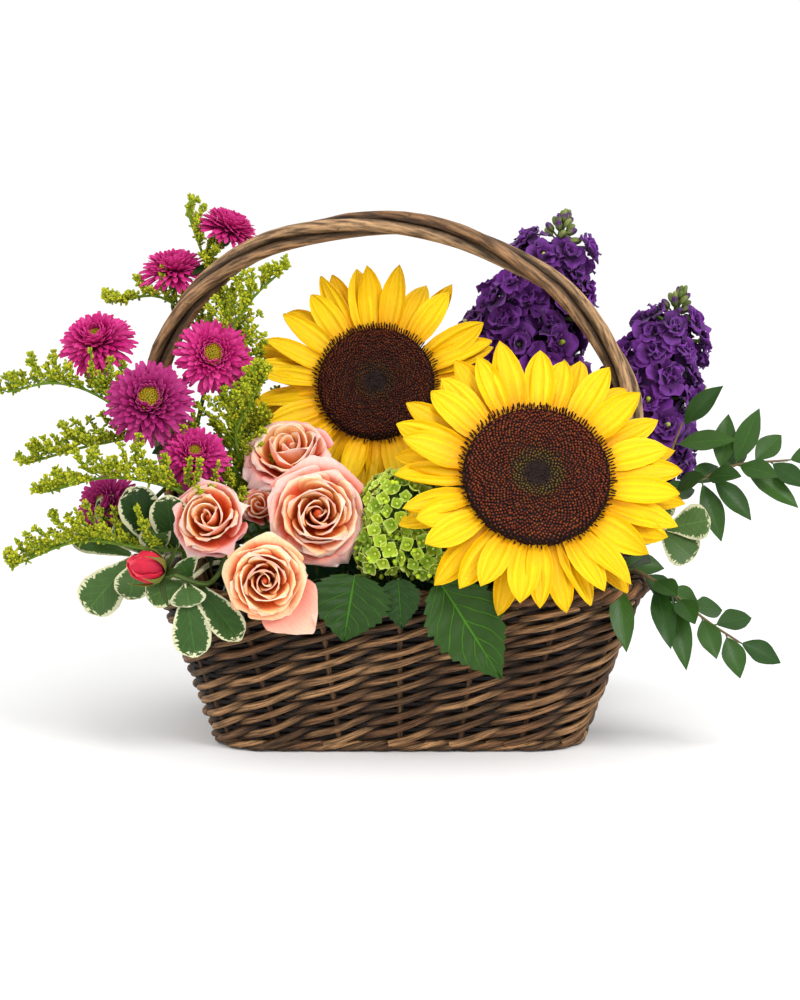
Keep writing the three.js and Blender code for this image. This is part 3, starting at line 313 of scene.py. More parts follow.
@dataclass(frozen=True)
class Finish:
    """One surface's look. Its colour comes from the piece's own tint, and the rest from here."""

    name: str
    marking: Marking = Marking.PLAIN
    roughness: float = 0.6
    mottle: float = 0.18  # how far the noise lightens or darkens the tint
    grain: float = 450.0  # scale of that noise, in patches a metre
    relief: float = 0.25  # strength of the bump
    depth: float = 0.0006  # height of the bump in metres
    lines: float = 9.0  # ridges across a petal, or side veins along a leaf
    line_light: float = 1.35  # brightness of a vein, or the painted highlight on a ridge's crest
    sheen: float = 0.0
    coat: float = 0.0
    glow: float = 0.0  # share of the light that scatters inside a thin petal
    margin: Colour = (1.0, 1.0, 0.62)
    tone: float = 0.7  # brightness of the tint under the studio's lights
    specular: float = 0.22
    coat_roughness: float = 0.28
    scatter: float = 0.003  # how far light travels inside a petal, in metres

    def build(self) -> bpy.types.Material:
        """Makes the material, or finds it if it is made already.

        Returns:
            The material.
        """
        if self.name in bpy.data.materials:
            return bpy.data.materials[self.name]
        material = bpy.data.materials.new(self.name)
        material.use_nodes = True
        g = Graph(material)
        shader = g.shader
        place = g.tree.nodes.new("ShaderNodeTexCoord")
        tint = g.tree.nodes.new("ShaderNodeVertexColor")
        tint.layer_name = TINT
        uv = g.tree.nodes.new("ShaderNodeSeparateXYZ")
        g.link(place.outputs["UV"], uv.inputs[0])
        across, along = uv.outputs[0], uv.outputs[1]
        cloud = g.noise(place.outputs["Object"], self.grain)
        colour = tint.outputs["Color"]
        swing = 2 * self.mottle * self.tone
        light = g.math("MULTIPLY_ADD", cloud, swing, self.tone - swing / 2)
        height = g.noise(place.outputs["Object"], self.grain * 3.1, 2.0)
        if self.marking is not Marking.PLAIN:
            colour, light, height = self.marked(g, place, across, along, colour, light, height)
        g.link(g.scaled(colour, light), shader.inputs["Base Color"])
        rough = g.math("MULTIPLY_ADD", cloud, 0.16, self.roughness - 0.08)
        g.link(rough, shader.inputs["Roughness"])
        bump = g.tree.nodes.new("ShaderNodeBump")
        bump.inputs["Strength"].default_value = self.relief
        bump.inputs["Distance"].default_value = self.depth
        g.link(height, bump.inputs["Height"])
        g.link(bump.outputs[0], shader.inputs["Normal"])
        shader.inputs["Specular IOR Level"].default_value = self.specular
        shader.inputs["Sheen Weight"].default_value = self.sheen
        shader.inputs["Coat Weight"].default_value = self.coat
        shader.inputs["Coat Roughness"].default_value = self.coat_roughness
        shader.inputs["Subsurface Weight"].default_value = self.glow
        shader.inputs["Subsurface Scale"].default_value = self.scatter
        return material

    def marked(
        self,
        g: Graph,
        place: bpy.types.Node,
        across: Socket,
        along: Socket,
        colour: Socket,
        light: Socket,
        height: Socket,
    ) -> tuple[Socket, Socket, Socket]:
        """Adds the finish's marking.

        Args:
            g: the material's graph.
            place: its texture coordinates.
            across: the share of the piece's width.
            along: the share of its length.
            colour: the colour so far.
            light: the factor on the colour so far.
            height: the bump so far.

        Returns:
            The colour, the factor and the bump with the marking.
        """
        middle = g.math("ABSOLUTE", g.math("SUBTRACT", across, 0.5))
        if self.marking is Marking.STREAKED:
            streak = g.noise(g.stretched(place.outputs["UV"], (6.0, 0.35, 1.0)), self.lines, 5.0)
            patch = g.noise(g.stretched(place.outputs["UV"], (0.6, 0.12, 1.0)), self.lines, 2.0)
            marks = g.math("MULTIPLY", g.step(0.3, 0.7, streak), g.math("MULTIPLY_ADD", patch, 1.5, 0.25))
            fleck = g.noise(g.stretched(place.outputs["UV"], (9.0, 1.6, 1.0)), self.lines, 1.0)
            marks = g.math("MULTIPLY", marks, g.step(0.2, 0.36, fleck))
            light = g.math("MULTIPLY", light, g.math("MULTIPLY_ADD", marks, self.line_light, 0.3))
            return colour, light, g.math("ADD", g.math("MULTIPLY", height, 0.3), streak)
        if self.marking is Marking.RIDGED:
            waver = g.noise(g.stretched(place.outputs["UV"], (1.0, 0.4, 1.0)), 6.0, 1.0)
            swung = g.math("MULTIPLY_ADD", waver, 0.12, across)
            wave = g.math("SINE", g.math("MULTIPLY", swung, TURN * self.lines))
            # painted highlight and shade: the ridges' crests are lighter and their furrows darker, in step with
            # the bump
            light = g.math("MULTIPLY", light, g.math("MULTIPLY_ADD", wave, (self.line_light - 1) / 2, 1.0))
            return colour, light, g.math("MULTIPLY_ADD", wave, 0.5, g.math("MULTIPLY", height, 0.5))
        rib = g.step(0.028, 0.008, middle)
        slant = g.math("MULTIPLY_ADD", middle, -0.75, along)
        waver = g.noise(place.outputs["UV"], 5.0, 1.0)
        phase = g.math("FRACT", g.math("MULTIPLY", g.math("MULTIPLY_ADD", waver, 0.05, slant), self.lines))
        side = g.step(0.09, 0.02, g.math("ABSOLUTE", g.math("SUBTRACT", phase, 0.5)))
        fade = g.step(0.5, 0.3, middle)
        veins = g.math("MAXIMUM", rib, g.math("MULTIPLY", g.math("MULTIPLY", side, fade), 0.75))
        light = g.math("MULTIPLY", light, g.math("MULTIPLY_ADD", veins, self.line_light - 1, 1.0))
        height = g.math("SUBTRACT", g.math("MULTIPLY", height, 0.4), veins)
        if self.marking is Marking.EDGED:
            ragged = g.noise(g.stretched(place.outputs["UV"], (4.0, 16.0, 1.0)), 1.6, 3.0)
            outward = g.math("MAXIMUM", middle, g.math("SUBTRACT", along, 0.53))
            reach = g.math("MULTIPLY_ADD", ragged, 0.4, outward)
            colour = g.mix(g.step(0.6, 0.63, reach), colour, (*self.margin, 1.0))
        return colour, light, height


DARK_WILLOW = Finish(
    "dark_willow", Marking.STREAKED, roughness=0.62, mottle=0.14, grain=500, relief=0.55, depth=0.0012,
    lines=2, line_light=1.6, tone=0.82,
)
PALE_WILLOW = Finish(
    "pale_willow", Marking.STREAKED, roughness=0.58, mottle=0.14, grain=420, relief=0.7, depth=0.0012,
    lines=2, line_light=1.5, tone=0.9,
)
TRAY_PLASTIC = Finish("tray_plastic", roughness=0.38, mottle=0.06, relief=0.05)
WET_FOAM = Finish("wet_foam", roughness=0.9, mottle=0.3, grain=900, relief=0.7, depth=0.0015)
MOSS = Finish("moss", roughness=0.9, mottle=0.35, grain=700, sheen=0.2)
SUN_RAY = Finish(
    "sun_ray", Marking.RIDGED, roughness=0.55, mottle=0.07, grain=160, relief=0.5, depth=0.0012, lines=4,
    line_light=1.16, glow=0.12, tone=0.9,
)
SEED_FLORET = Finish("seed_floret", roughness=0.7, mottle=0.3, grain=1500)
ROSE_PETAL = Finish(
    "satin_petal", Marking.RIDGED, roughness=0.6, mottle=0.08, grain=260, relief=0.12, depth=0.0003,
    lines=14, line_light=1.06, glow=0.3, tone=1,
)
ASTER_RAY = Finish(
    "aster_ray", Marking.RIDGED, roughness=0.6, mottle=0.1, grain=300, relief=0.2, depth=0.0003, lines=2,
    line_light=1.15, tone=0.8,
)
POLLEN = Finish("pollen", roughness=0.8, mottle=0.35, grain=1800, tone=0.85)
LIME_FLORET = Finish("lime_floret", roughness=0.6, mottle=0.16, grain=500, glow=0.15, tone=1)
VELVET_PETAL = Finish(
    "velvet_petal", Marking.RIDGED, roughness=0.65, mottle=0.22, grain=300, relief=0.2, depth=0.0004,
    lines=3, line_light=1.15, sheen=0.1, tone=0.75,
)
GOLD_BUD = Finish("gold_bud", roughness=0.7, mottle=0.2, grain=900, tone=0.9)
FRESH_STEM = Finish(
    "fresh_stem", Marking.STREAKED, roughness=0.55, mottle=0.1, grain=400, relief=0.2, depth=0.0005,
    lines=1.2, line_light=0.75,
)
TOOTHED_LEAF = Finish(
    "toothed_leaf", Marking.VEINED, roughness=0.5, mottle=0.2, grain=220, relief=0.6, depth=0.0012,
    lines=6, line_light=2.8, tone=0.4,
)
GLOSSY_LEAF = Finish(
    "glossy_leaf", Marking.VEINED, roughness=0.42, mottle=0.14, grain=260, relief=0.4, depth=0.0006,
    lines=9, line_light=1.6, coat=0.06, tone=0.5,
)
EDGED_LEAF = Finish(
    "edged_leaf", Marking.EDGED, roughness=0.5, mottle=0.22, grain=200, relief=0.4, depth=0.0006,
    lines=7, line_light=1.5, coat=0.04, tone=0.55,
)


# ---------------------------------------------------------------- patterns, modelled once


@dataclass(frozen=True)
class Pattern:
    """A small shape modelled once. Its own coordinates say how a copy of it is bent."""

    first: Array  # across a blade from -1 to 1, or the angle round a rod or bud
    along: Array  # share of the length, from 0 to 1
    side: Array  # 1 on a blade's upper face and -1 on its lower one, or the share of a rod's radius
    corners: Array  # the vertex at each corner of each face
    counts: Array  # the number of corners of each face


def pattern_from(obj: bpy.types.Object, read: Callable[[Array], tuple[Array, Array, Array]]) -> Pattern:
    """Reads a modelled object as a pattern, and removes the object.

    Args:
        obj: the object.
        read: gives the pattern's three coordinates from the vertices.

    Returns:
        The pattern.
    """
    mesh = obj.data
    co = np.zeros(len(mesh.vertices) * 3)
    mesh.vertices.foreach_get("co", co)
    corners = np.zeros(len(mesh.loops), np.int32)
    mesh.loops.foreach_get("vertex_index", corners)
    counts = np.zeros(len(mesh.polygons), np.int32)
    mesh.polygons.foreach_get("loop_total", counts)
    bpy.data.objects.remove(obj)
    return Pattern(*read(co.reshape(-1, 3)), corners, counts)


def round_section(points: Array) -> tuple[Array, Array, Array]:
    """Reads a rod or a bud as angles, shares of its length and shares of its radius."""
    x, y, z = points.T
    return np.arctan2(y, x), (z + 1) / 2, np.hypot(x, y)


@lru_cache
def blade(columns: int, rows: int) -> Pattern:
    """A flat blade with a thickness: the start of every petal, sepal and leaf.

    Args:
        columns: the faces across it.
        rows: the faces along it.

    Returns:
        The pattern, lying along +Y with its upper side to +Z.
    """
    bpy.ops.object.select_all(action="DESELECT")
    bpy.ops.mesh.primitive_grid_add(x_subdivisions=columns, y_subdivisions=rows, size=2)
    obj = bpy.context.object
    wall = obj.modifiers.new("wall", "SOLIDIFY")
    wall.thickness = 0.2
    wall.offset = 0.0
    bpy.ops.object.modifier_apply(modifier=wall.name)
    return pattern_from(obj, lambda p: (p[:, 0], (p[:, 1] + 1) / 2, np.sign(p[:, 2])))


@lru_cache
def tube(sides: int, rings: int) -> Pattern:
    """A straight rod with closed ends: the start of every stem, twig and willow rod.

    Args:
        sides: the faces round it.
        rings: the rings of vertices along it, both ends included.

    Returns:
        The pattern, along +Z.
    """
    bpy.ops.object.select_all(action="DESELECT")
    bpy.ops.mesh.primitive_cylinder_add(vertices=sides, radius=1, depth=2)
    obj = bpy.context.object
    if rings > 2:
        bpy.ops.object.mode_set(mode="EDIT")
        bpy.ops.mesh.select_mode(type="EDGE")
        bpy.ops.mesh.select_all(action="DESELECT")
        bm = bmesh.from_edit_mesh(obj.data)
        for edge in bm.edges:
            edge.select_set(abs(edge.verts[0].co.z - edge.verts[1].co.z) > 1)
        bmesh.update_edit_mesh(obj.data)
        bpy.ops.mesh.subdivide(number_cuts=rings - 2)
        bpy.ops.object.mode_set(mode="OBJECT")
    return pattern_from(obj, round_section)


@lru_cache
def bud(sides: int, rings: int) -> Pattern:
    """A closed round bud with a point at each end.

    Args:
        sides: the faces round it.
        rings: the faces along it.

    Returns:
        The pattern, with its root at the bottom.
    """
    bpy.ops.object.select_all(action="DESELECT")
    bpy.ops.mesh.primitive_uv_sphere_add(segments=sides, ring_count=rings, radius=1)
    return pattern_from(bpy.context.object, round_section)


# ---------------------------------------------------------------- bending the patterns


@dataclass(frozen=True)
class Form:
    """How a blade is bent into a petal or a leaf that grows along +X with its upper face to +Z."""

    length: float
    width: float
    outline: Outline
    thickness: float = 0.5
    start: float = 0.0  # angle of its root above the flat
    bend: float = 0.0  # how far it turns up on its way to the tip
    late: float = 1.0  # 1 bends it evenly, and more bends it later
    cup: float = 0.0  # lift of the edges, in half widths
    fold: float = 0.0  # lift of the edges along a straight crease
    twist: float = 0.0
    ruffle: float = 0.0  # height of the waves along the edges
    waves: float = 3.0
    phase: float = 0.0
    groove: float = 0.0  # depth of the furrows along it
    furrows: float = 2.0
    crown: float = 0.0  # how far the end is rounded off towards its corners
    teeth: int = 0
    bite: float = 0.1  # depth of the teeth, in half widths

    def bent(self, pattern: Pattern) -> Array:
        """Bends a copy of the blade.

        Args:
            pattern: the blade.

        Returns:
            Its points.
        """
        t = -pattern.first
        s = pattern.along * (1 - self.crown * t * t)
        fine = np.linspace(0, 1, 33)
        angle = self.start + self.bend * fine**self.late
        step = self.length / 32
        x = np.concatenate([[0], np.cumsum((np.cos(angle[1:]) + np.cos(angle[:-1])) / 2)]) * step
        z = np.concatenate([[0], np.cumsum((np.sin(angle[1:]) + np.sin(angle[:-1])) / 2)]) * step
        places, shares = zip(*self.outline)
        half = self.width / 2 * np.interp(pattern.along, places, shares)
        if self.teeth:
            saw = (pattern.along * self.teeth) % 1
            half = half * (1 + self.bite * np.where(np.abs(t) > 0.98, saw - 0.5, 0))
        out = t * half
        edge = np.abs(t)
        wave = np.sin(self.waves * TURN * s + self.phase + np.where(t > 0, 1.7, 0))
        lift = half * (self.cup * t * t + self.fold * edge)
        lift = lift + self.ruffle * wave * edge**1.6 * smooth(0, 0.4, s)
        furrow = np.cos(t * math.pi * self.furrows) * np.sin(math.pi * np.clip(s, 0, 1)) ** 0.5
        lift = lift - self.groove * furrow
        lift = lift + pattern.side * self.thickness / 2 * np.clip(half * 3, 0.2, 1)
        spin = self.twist * s
        y = out * np.cos(spin) - lift * np.sin(spin)
        up = out * np.sin(spin) + lift * np.cos(spin)
        here = np.interp(s, fine, angle)
        return np.stack(
            [np.interp(s, fine, x) - up * np.sin(here), y, np.interp(s, fine, z) + up * np.cos(here)],
            axis=1,
        )


@dataclass(frozen=True)
class Wrap:
    """How a blade is wrapped round a bloom's axis: a rose petal, on a line from its root to its rim."""

    root: tuple[float, float]  # radius and height
    belly: tuple[float, float]
    neck: tuple[float, float]
    rim: tuple[float, float]
    width: float
    outline: Outline
    thickness: float = 0.6
    open: float = 1.0  # 1 follows the circle round the axis, and more lies flatter
    spiral: float = 0.0  # how much further out one edge lies than the other
    flare: float = 0.0  # how far both edges turn out
    crown: float = 0.2
    ruffle: float = 0.0
    waves: float = 2.0
    phase: float = 0.0
    pinch: float = 0.0  # how far the middle of the rim is drawn to a point

    def bent(self, pattern: Pattern) -> Array:
        """Wraps a copy of the blade.

        Args:
            pattern: the blade.

        Returns:
            Its points.
        """
        t = -pattern.first
        s = pattern.along * (1 - self.crown * t * t)
        line = np.array([self.root, self.belly, self.neck, self.rim])
        a, b = (1 - s)[:, None], s[:, None]
        at = a**3 * line[0] + 3 * a * a * b * line[1] + 3 * a * b * b * line[2] + b**3 * line[3]
        steps = np.diff(line, axis=0)
        run = unit(a * a * steps[0] + 2 * a * b * steps[1] + b * b * steps[2])
        places, shares = zip(*self.outline)
        out = t * self.width / 2 * np.interp(pattern.along, places, shares)
        edge = np.abs(t)
        wave = np.sin(self.waves * math.pi * t + self.phase)
        shift = pattern.side * self.thickness / 2 - self.spiral * t * smooth(0, 0.5, s)
        shift = shift - self.ruffle * wave * s**3 - self.flare * edge**3 * smooth(0.3, 1, s)
        radius = np.maximum(at[:, 0], 0.6) * self.open
        turn = out / radius
        far = at[:, 0] - run[:, 1] * shift
        x = far - radius * (1 - np.cos(turn))
        y = (radius + far - at[:, 0]) * np.sin(turn)
        point = self.pinch * smooth(0.75, 1, s) * (1 - edge) ** 2
        return np.stack([x + point, y, at[:, 1] + run[:, 0] * shift - point * 0.4], axis=1)


def rod_points(
    pattern: Pattern, line: Array, radius: Array, out: Array | None = None, flat: float = 1.0
) -> Array:
    """Bends a tube along a line.

    Args:
        pattern: the tube, with as many rings as the line has points.
        line: the middle line.
        radius: the radius at each of its points.
        out: the direction that the section keeps to, one or one at each point, or None for the least turning.
        flat: the section's height in its widths.

    Returns:
        The bent tube's points.
    """
    along = directions_of(line)
    if out is None:
        start = np.cross(along[0], UP if abs(along[0][2]) < 0.9 else (1.0, 0.0, 0.0))
        sides = [unit(start)]
        for step in along[1:]:
            last = sides[-1]
            sides.append(unit(last - step * float(last @ step)))
        first = np.array(sides)
    else:
        first = unit(out - along * np.sum(out * along, axis=1, keepdims=True))
    second = np.cross(along, first)
    ring = np.rint(pattern.along * (len(line) - 1)).astype(int)
    size = (radius[ring] * pattern.side)[:, None]
    c, s = np.cos(pattern.first)[:, None], np.sin(pattern.first)[:, None]
    return line[ring] + size * (first[ring] * c + second[ring] * s * flat)


def bud_points(pattern: Pattern, width: float, length: float, swell: float = 0.5, lobes: int = 0) -> Array:
    """Shapes a bud that stands on its root along +Z.

    Args:
        pattern: the bud.
        width: its full width.
        length: its length.
        swell: the share of its length where it is widest.
        lobes: how many ribs its outside has.

    Returns:
        Its points.
    """
    r = width / 2 * pattern.side * (1 + (0.1 * np.cos(lobes * pattern.first) if lobes else 0))
    height = length * np.interp(pattern.along, [0, 0.5, 1], [0, swell, 1])
    return np.stack([r * np.cos(pattern.first), r * np.sin(pattern.first), height], axis=1)


@dataclass
class Bunch:
    """Bent copies of patterns, gathered into one piece."""

    points: list[Array] = field(default_factory=list)
    tints: list[Array] = field(default_factory=list)
    uvs: list[Array] = field(default_factory=list)
    corners: list[Array] = field(default_factory=list)
    counts: list[Array] = field(default_factory=list)
    total: int = 0

    def add(self, pattern: Pattern, points: Array, tint: object, uv: Array | None = None) -> None:
        """Adds one copy.

        Args:
            pattern: the pattern that it is a copy of.
            points: its points in millimetres.
            tint: its colour, or one for each point.
            uv: its own texture coordinates, or None for the pattern's.
        """
        if uv is None:
            uv = np.stack([(1 + pattern.first) / 2, pattern.along], axis=1)
        self.points.append(points)
        self.tints.append(np.broadcast_to(np.asarray(tint, float), points.shape))
        self.uvs.append(uv[pattern.corners])
        self.corners.append(pattern.corners + self.total)
        self.counts.append(pattern.counts)
        self.total += len(points)

    def rod(
        self,
        line: Array,
        radius: object,
        tint: object,
        sides: int = 6,
        out: Array | None = None,
        flat: float = 1.0,
        shadow: float = 0.0,
    ) -> None:
        """Adds a rod along a line.

        Args:
            line: its middle line.
            radius: one radius, or one for each point of the line.
            tint: its colour, or one for each point of the line.
            sides: the faces round it.
            out: the direction that the section keeps to, one or one at each point.
            flat: the section's height in its widths.
            shadow: how far the side turned away from that direction is darkened.
        """
        pattern = tube(sides, len(line))
        sizes = np.broadcast_to(np.asarray(radius, float), (len(line),))
        ring = np.rint(pattern.along * (len(line) - 1)).astype(int)
        length = np.concatenate([[0], np.cumsum(np.linalg.norm(np.diff(line, axis=0), axis=1))])
        spread = np.broadcast_to(np.asarray(tint, float), (len(line), 3))[ring]
        spread = spread * (1 - shadow * (1 - smooth(-0.3, 0.8, np.cos(pattern.first))))[:, None]
        uv = np.stack([0.5 + pattern.first / TURN, (length[ring] + 37.0 * len(self.points)) / 10], axis=1)
        self.add(pattern, rod_points(pattern, line, sizes, out, flat), spread, uv)

    def build(
        self, name: str, finish: Finish, slot: str, nodes: Iterable[str] = (), angle: float = 55.0
    ) -> None:
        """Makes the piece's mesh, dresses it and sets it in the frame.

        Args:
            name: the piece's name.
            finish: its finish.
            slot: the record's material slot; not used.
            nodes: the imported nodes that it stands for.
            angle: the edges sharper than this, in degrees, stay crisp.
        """
        mesh = bpy.data.meshes.new(name)
        points = np.vstack(self.points) * MM
        corners = np.concatenate(self.corners).astype(np.int32)
        counts = np.concatenate(self.counts).astype(np.int32)
        starts = np.concatenate([[0], np.cumsum(counts)[:-1]]).astype(np.int32)
        mesh.vertices.add(len(points))
        mesh.vertices.foreach_set("co", points.astype(np.float32).ravel())
        mesh.loops.add(len(corners))
        mesh.loops.foreach_set("vertex_index", corners)
        mesh.polygons.add(len(counts))
        mesh.polygons.foreach_set("loop_start", starts)
        mesh.polygons.foreach_set("loop_total", counts)
        layer = mesh.uv_layers.new(name="UVMap")
        layer.data.foreach_set("uv", np.vstack(self.uvs).astype(np.float32).ravel())
        tints = np.clip(np.vstack(self.tints), 0, 1)
        colours = mesh.color_attributes.new(name=TINT, type="FLOAT_COLOR", domain="POINT")
        rows = np.hstack([tints, np.ones((len(tints), 1))])
        colours.data.foreach_set("color", rows.astype(np.float32).ravel())
        mesh.update(calc_edges=True)
        mesh.validate()
        obj = bpy.data.objects.new(name, mesh)
        bpy.context.scene.collection.objects.link(obj)
        only(obj)
        bpy.ops.object.shade_smooth_by_angle(angle=math.radians(angle))
        mesh.materials.append(finish.build())
        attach(obj, BODY)
        if nodes:
            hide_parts(*nodes)
        LOG.info("%s: %d faces", name, len(counts))


# ---------------------------------------------------------------- the basket

# BARK_DARK is near black: the rods' painted shade, and a darker tone that some rods take
BARK_DARK = shade(24, 15, 10)
BARK_BROWN = shade(112, 78, 50)
BARK_TAN = shade(170, 128, 86)
BARK_PALE = shade(184, 150, 110)


@dataclass
class Basket:
    """The willow basket: stakes, slanting weavers, a twisted rim and foot, and a woven floor."""

    length: float = 278.0
    depth: float = 204.0
    base_length: float = 216.0
    base_depth: float = 150.0
    wall_top: float = 88.0
    corner: float = 44.0
    base_corner: float = 34.0
    stakes: int = 20
    stake_radius: float = 1.9
    stake_inset: float = 4.7  # how far inside the outline the stakes stand
    rod_radius: float = 2.06
    wall_middle: float = 4.3  # how far inside the outline a weaver's middle runs
    swing: float = 2.8  # how far a weaver swings out in front of a stake and in behind it
    bulge: float = 0.5  # how much further it swings in the middle of a row
    dip: float = 0.9  # how far it is drawn down in front of a stake
    wander: float = 0.3  # how far it strays up or down
    wall_bottom: float = 7.6
    lowest: float = 4.6  # the lower ends of the stakes and weavers
    rows: int = 5  # the solid's rows, each as high as two crowns
    row_rods: int = 4  # the weavers that cross a row's height at one stake
    climb: int = 3  # how many weavers' spacings one gains from a stake to the next
    rings_a_stake: int = 12
    packing_radius: float = 1.95
    packing_inset: float = 5.0
    rim_height: float = 94.4
    rim_inset: float = 4.0
    foot_height: float = 3.7
    foot_inset: float = 3.3
    seed: int = 5
    random: np.random.Generator = field(init=False)

    def __post_init__(self) -> None:
        """Starts the basket's own random numbers."""
        self.random = np.random.default_rng(self.seed)

    def outline(self, z: Array, u: Array, inset: float = 0.0) -> tuple[Array, Array]:
        """Points of the basket's rounded outline, and the outward directions there.

        Args:
            z: the heights.
            u: the shares of the way round, from the middle of the right end.
            inset: how far inside the outline.

        Returns:
            The points and the directions, one a row.
        """
        t = z / self.wall_top
        corner = self.base_corner + (self.corner - self.base_corner) * t
        a = (self.base_length + (self.length - self.base_length) * t) / 2 - corner
        b = (self.base_depth + (self.depth - self.base_depth) * t) / 2 - corner
        arc = math.pi / 2 * corner
        whole = 4 * (a + b + arc)
        d = (u % 1) * whole
        quarter = whole / 4
        k = np.minimum((d // quarter).astype(int), 3)
        d = d - k * quarter
        odd = k % 2 == 1
        straight, other = np.where(odd, a, b), np.where(odd, b, a)
        turn = np.clip((d - straight) / corner, 0, math.pi / 2)
        before, after = np.minimum(d, straight), np.maximum(d - straight - arc, 0)
        x = other + corner * np.cos(turn) - after
        y = before + corner * np.sin(turn)
        nx, ny = np.cos(turn), np.sin(turn)
        c, s = np.array([1, 0, -1, 0])[k], np.array([0, 1, 0, -1])[k]
        out = np.stack([nx * c - ny * s, nx * s + ny * c, np.zeros_like(nx)], axis=1)
        point = np.stack([x * c - y * s, x * s + y * c, z], axis=1)
        return point - out * inset, out

    def bark(self, showing: object) -> Array:
        """The colours along one rod.

        Args:
            showing: how far its own colour shows over the near-black, from 0 to 1, all along it or at each
                point.

        Returns:
            The colour, or one for each point.
        """
        own = blend(BARK_BROWN, BARK_TAN, self.random.uniform(-0.2, 1.0))
        own = blend(own, BARK_DARK, max(0.0, self.random.normal(0, 0.35)))
        return blend(BARK_DARK, own, showing)

    def wall(self) -> None:
        """The stakes, and the weavers that climb to the right in front of every second stake."""
        bunch = Bunch()
        low, high = self.lowest, self.wall_top + 2
        for i in range(self.stakes):
            z = np.linspace(low, high, 9)
            at, out = self.outline(z, np.full(9, i / self.stakes), self.stake_inset)
            bunch.rod(at, self.stake_radius, self.bark(0.25), 8, out)
        row = (self.wall_top - self.wall_bottom) / self.rows
        step = row / self.row_rods  # between two weavers at a stake
        u = np.linspace(0, 1, self.stakes * 9 + 1)
        for z in np.arange(self.wall_bottom + step / 2, high, step):  # packing rods in its middle, near black: painted shade in the gaps of the weave
            at, out = self.outline(np.full(len(u), z), u, self.packing_inset)
            bunch.rod(at, self.packing_radius, np.array(BARK_DARK) * 0.6, 6, out)
        weavers = self.stakes * self.climb
        for j in range(weavers):
            start = self.wall_bottom + step * (j - weavers)
            first, last = (low - start) / (step * self.climb), (high - start) / (step * self.climb)
            count = int((last - first) * self.rings_a_stake)
            s = np.linspace(first, last, count)
            wander = np.interp(s, np.linspace(first, last, 9), self.random.normal(0, self.wander, 9))
            z = start + s * step * self.climb + wander
            wave = np.cos((s + j) * math.pi)
            z = z - self.dip * np.maximum(wave, 0) ** 2
            proud = self.swing + self.bulge * np.cos(TURN * ((z - self.wall_bottom) / row - 0.5))
            swing = proud * np.sign(wave) * np.abs(wave) ** 0.7 * self.random.uniform(0.92, 1.05)
            around = (s + self.random.normal(0, 0.04)) / self.stakes
            at, out = self.outline(np.clip(z, low - 1, high), around, self.wall_middle)
            at = at + out * swing[:, None]
            uneven = np.interp(s, np.linspace(first, last, 24), self.random.normal(0, 0.04, 24))
            size = self.rod_radius * self.random.uniform(0.9, 1.1) * (np.linspace(1.06, 0.96, count) + uneven)
            # painted shade: near black where the weaver turns in behind a stake, its own colour where it
            # crosses in front, and the side facing into the wall darkened too
            showing = 0.1 + 0.9 * smooth(-0.35, 0.7, wave) * self.random.uniform(0.65, 1.0)
            bunch.rod(at, size, self.bark(showing), 10, out, shadow=0.85)
        bunch.build("basket_wall", DARK_WILLOW, "willow", ["basket_body"])

    def laid(
        self, bunch: Bunch, height: float, inset: float, strands: int, turns: int, size: float, lay: float
    ) -> None:
        """Adds rods that are laid round the outline and twisted about each other.

        Args:
            bunch: where they go.
            height: the height of their middle.
            inset: how far inside the outline it runs.
            strands: how many rods.
            turns: the turns of the twist, all round.
            size: a rod's radius.
            lay: how far a rod lies from the middle.
        """
        count = 260
        u = np.linspace(0, 1, count)
        middle, out = self.outline(np.full(count, height), u, inset)
        for k in range(strands):
            phase = TURN * (u * turns + k / strands)
            shift = out * (np.cos(phase) * lay)[:, None]
            shift[:, 2] += np.sin(phase) * lay * 0.85
            # painted light and shade: each rod lighter where it turns outward and up, darker where it turns in
            # and down, and shaded on the side facing the twist's middle
            showing = 0.35 + 0.65 * smooth(-0.4, 0.9, np.cos(phase - 0.6))
            thick = size * (1 + np.interp(u, np.linspace(0, 1, 40), self.random.normal(0, 0.06, 40)))
            thick[-1] = thick[0]
            line = middle + shift
            bunch.rod(line, thick, self.bark(showing), 10, shift, shadow=0.6)

    def borders(self) -> None:
        """The rim over the wall, and the foot under it."""
        rim = Bunch()
        self.laid(rim, self.rim_height, self.rim_inset, 4, 15, 2.7, 3.3)
        rim.build("basket_rim_rods", PALE_WILLOW, "willow_handle", ["basket_rim"])
        foot = Bunch()
        self.laid(foot, self.foot_height, self.foot_inset, 3, 13, 1.9, 1.75)
        foot.build("basket_foot_rods", DARK_WILLOW, "willow", ["basket_foot"])

    def floor(self) -> None:
        """The woven floor: thick sticks across, with thin rods woven over and under them."""
        bunch = Bunch()
        wall, height, gap, thick, weave = 7, 4.6, 13.0, 1.5, 1.7
        half_x, half_y = self.base_length / 2 - wall, self.base_depth / 2 - wall
        sticks = np.arange(-half_x + 8, half_x - 7, gap)

        def reach(across: float, half: float, other: float) -> float:
            """How far the floor reaches, this far from its middle line."""
            into = max(0.0, abs(across) - (half - self.base_corner))
            return other - self.base_corner + math.sqrt(max(0.0, self.base_corner**2 - into**2))

        for x in sticks:
            y = np.linspace(-1, 1, 3) * reach(x, half_x, half_y)
            line = np.stack([np.full(3, x), y, np.full(3, height)], axis=1)
            bunch.rod(line, thick, self.bark(0.4), 6)
        for i, y in enumerate(np.arange(-half_y + 2, half_y - 1, 3.1)):
            x = np.linspace(-1, 1, 70) * reach(y, half_y, half_x)
            wave = np.cos((x - sticks[0]) / gap * math.pi + i * math.pi)
            line = np.stack([x, np.full(70, y), height + wave * weave], axis=1)
            bunch.rod(line, thick, self.bark(0.3 + 0.5 * (wave < 0)), 6)
        bunch.build("basket_floor", DARK_WILLOW, "willow")


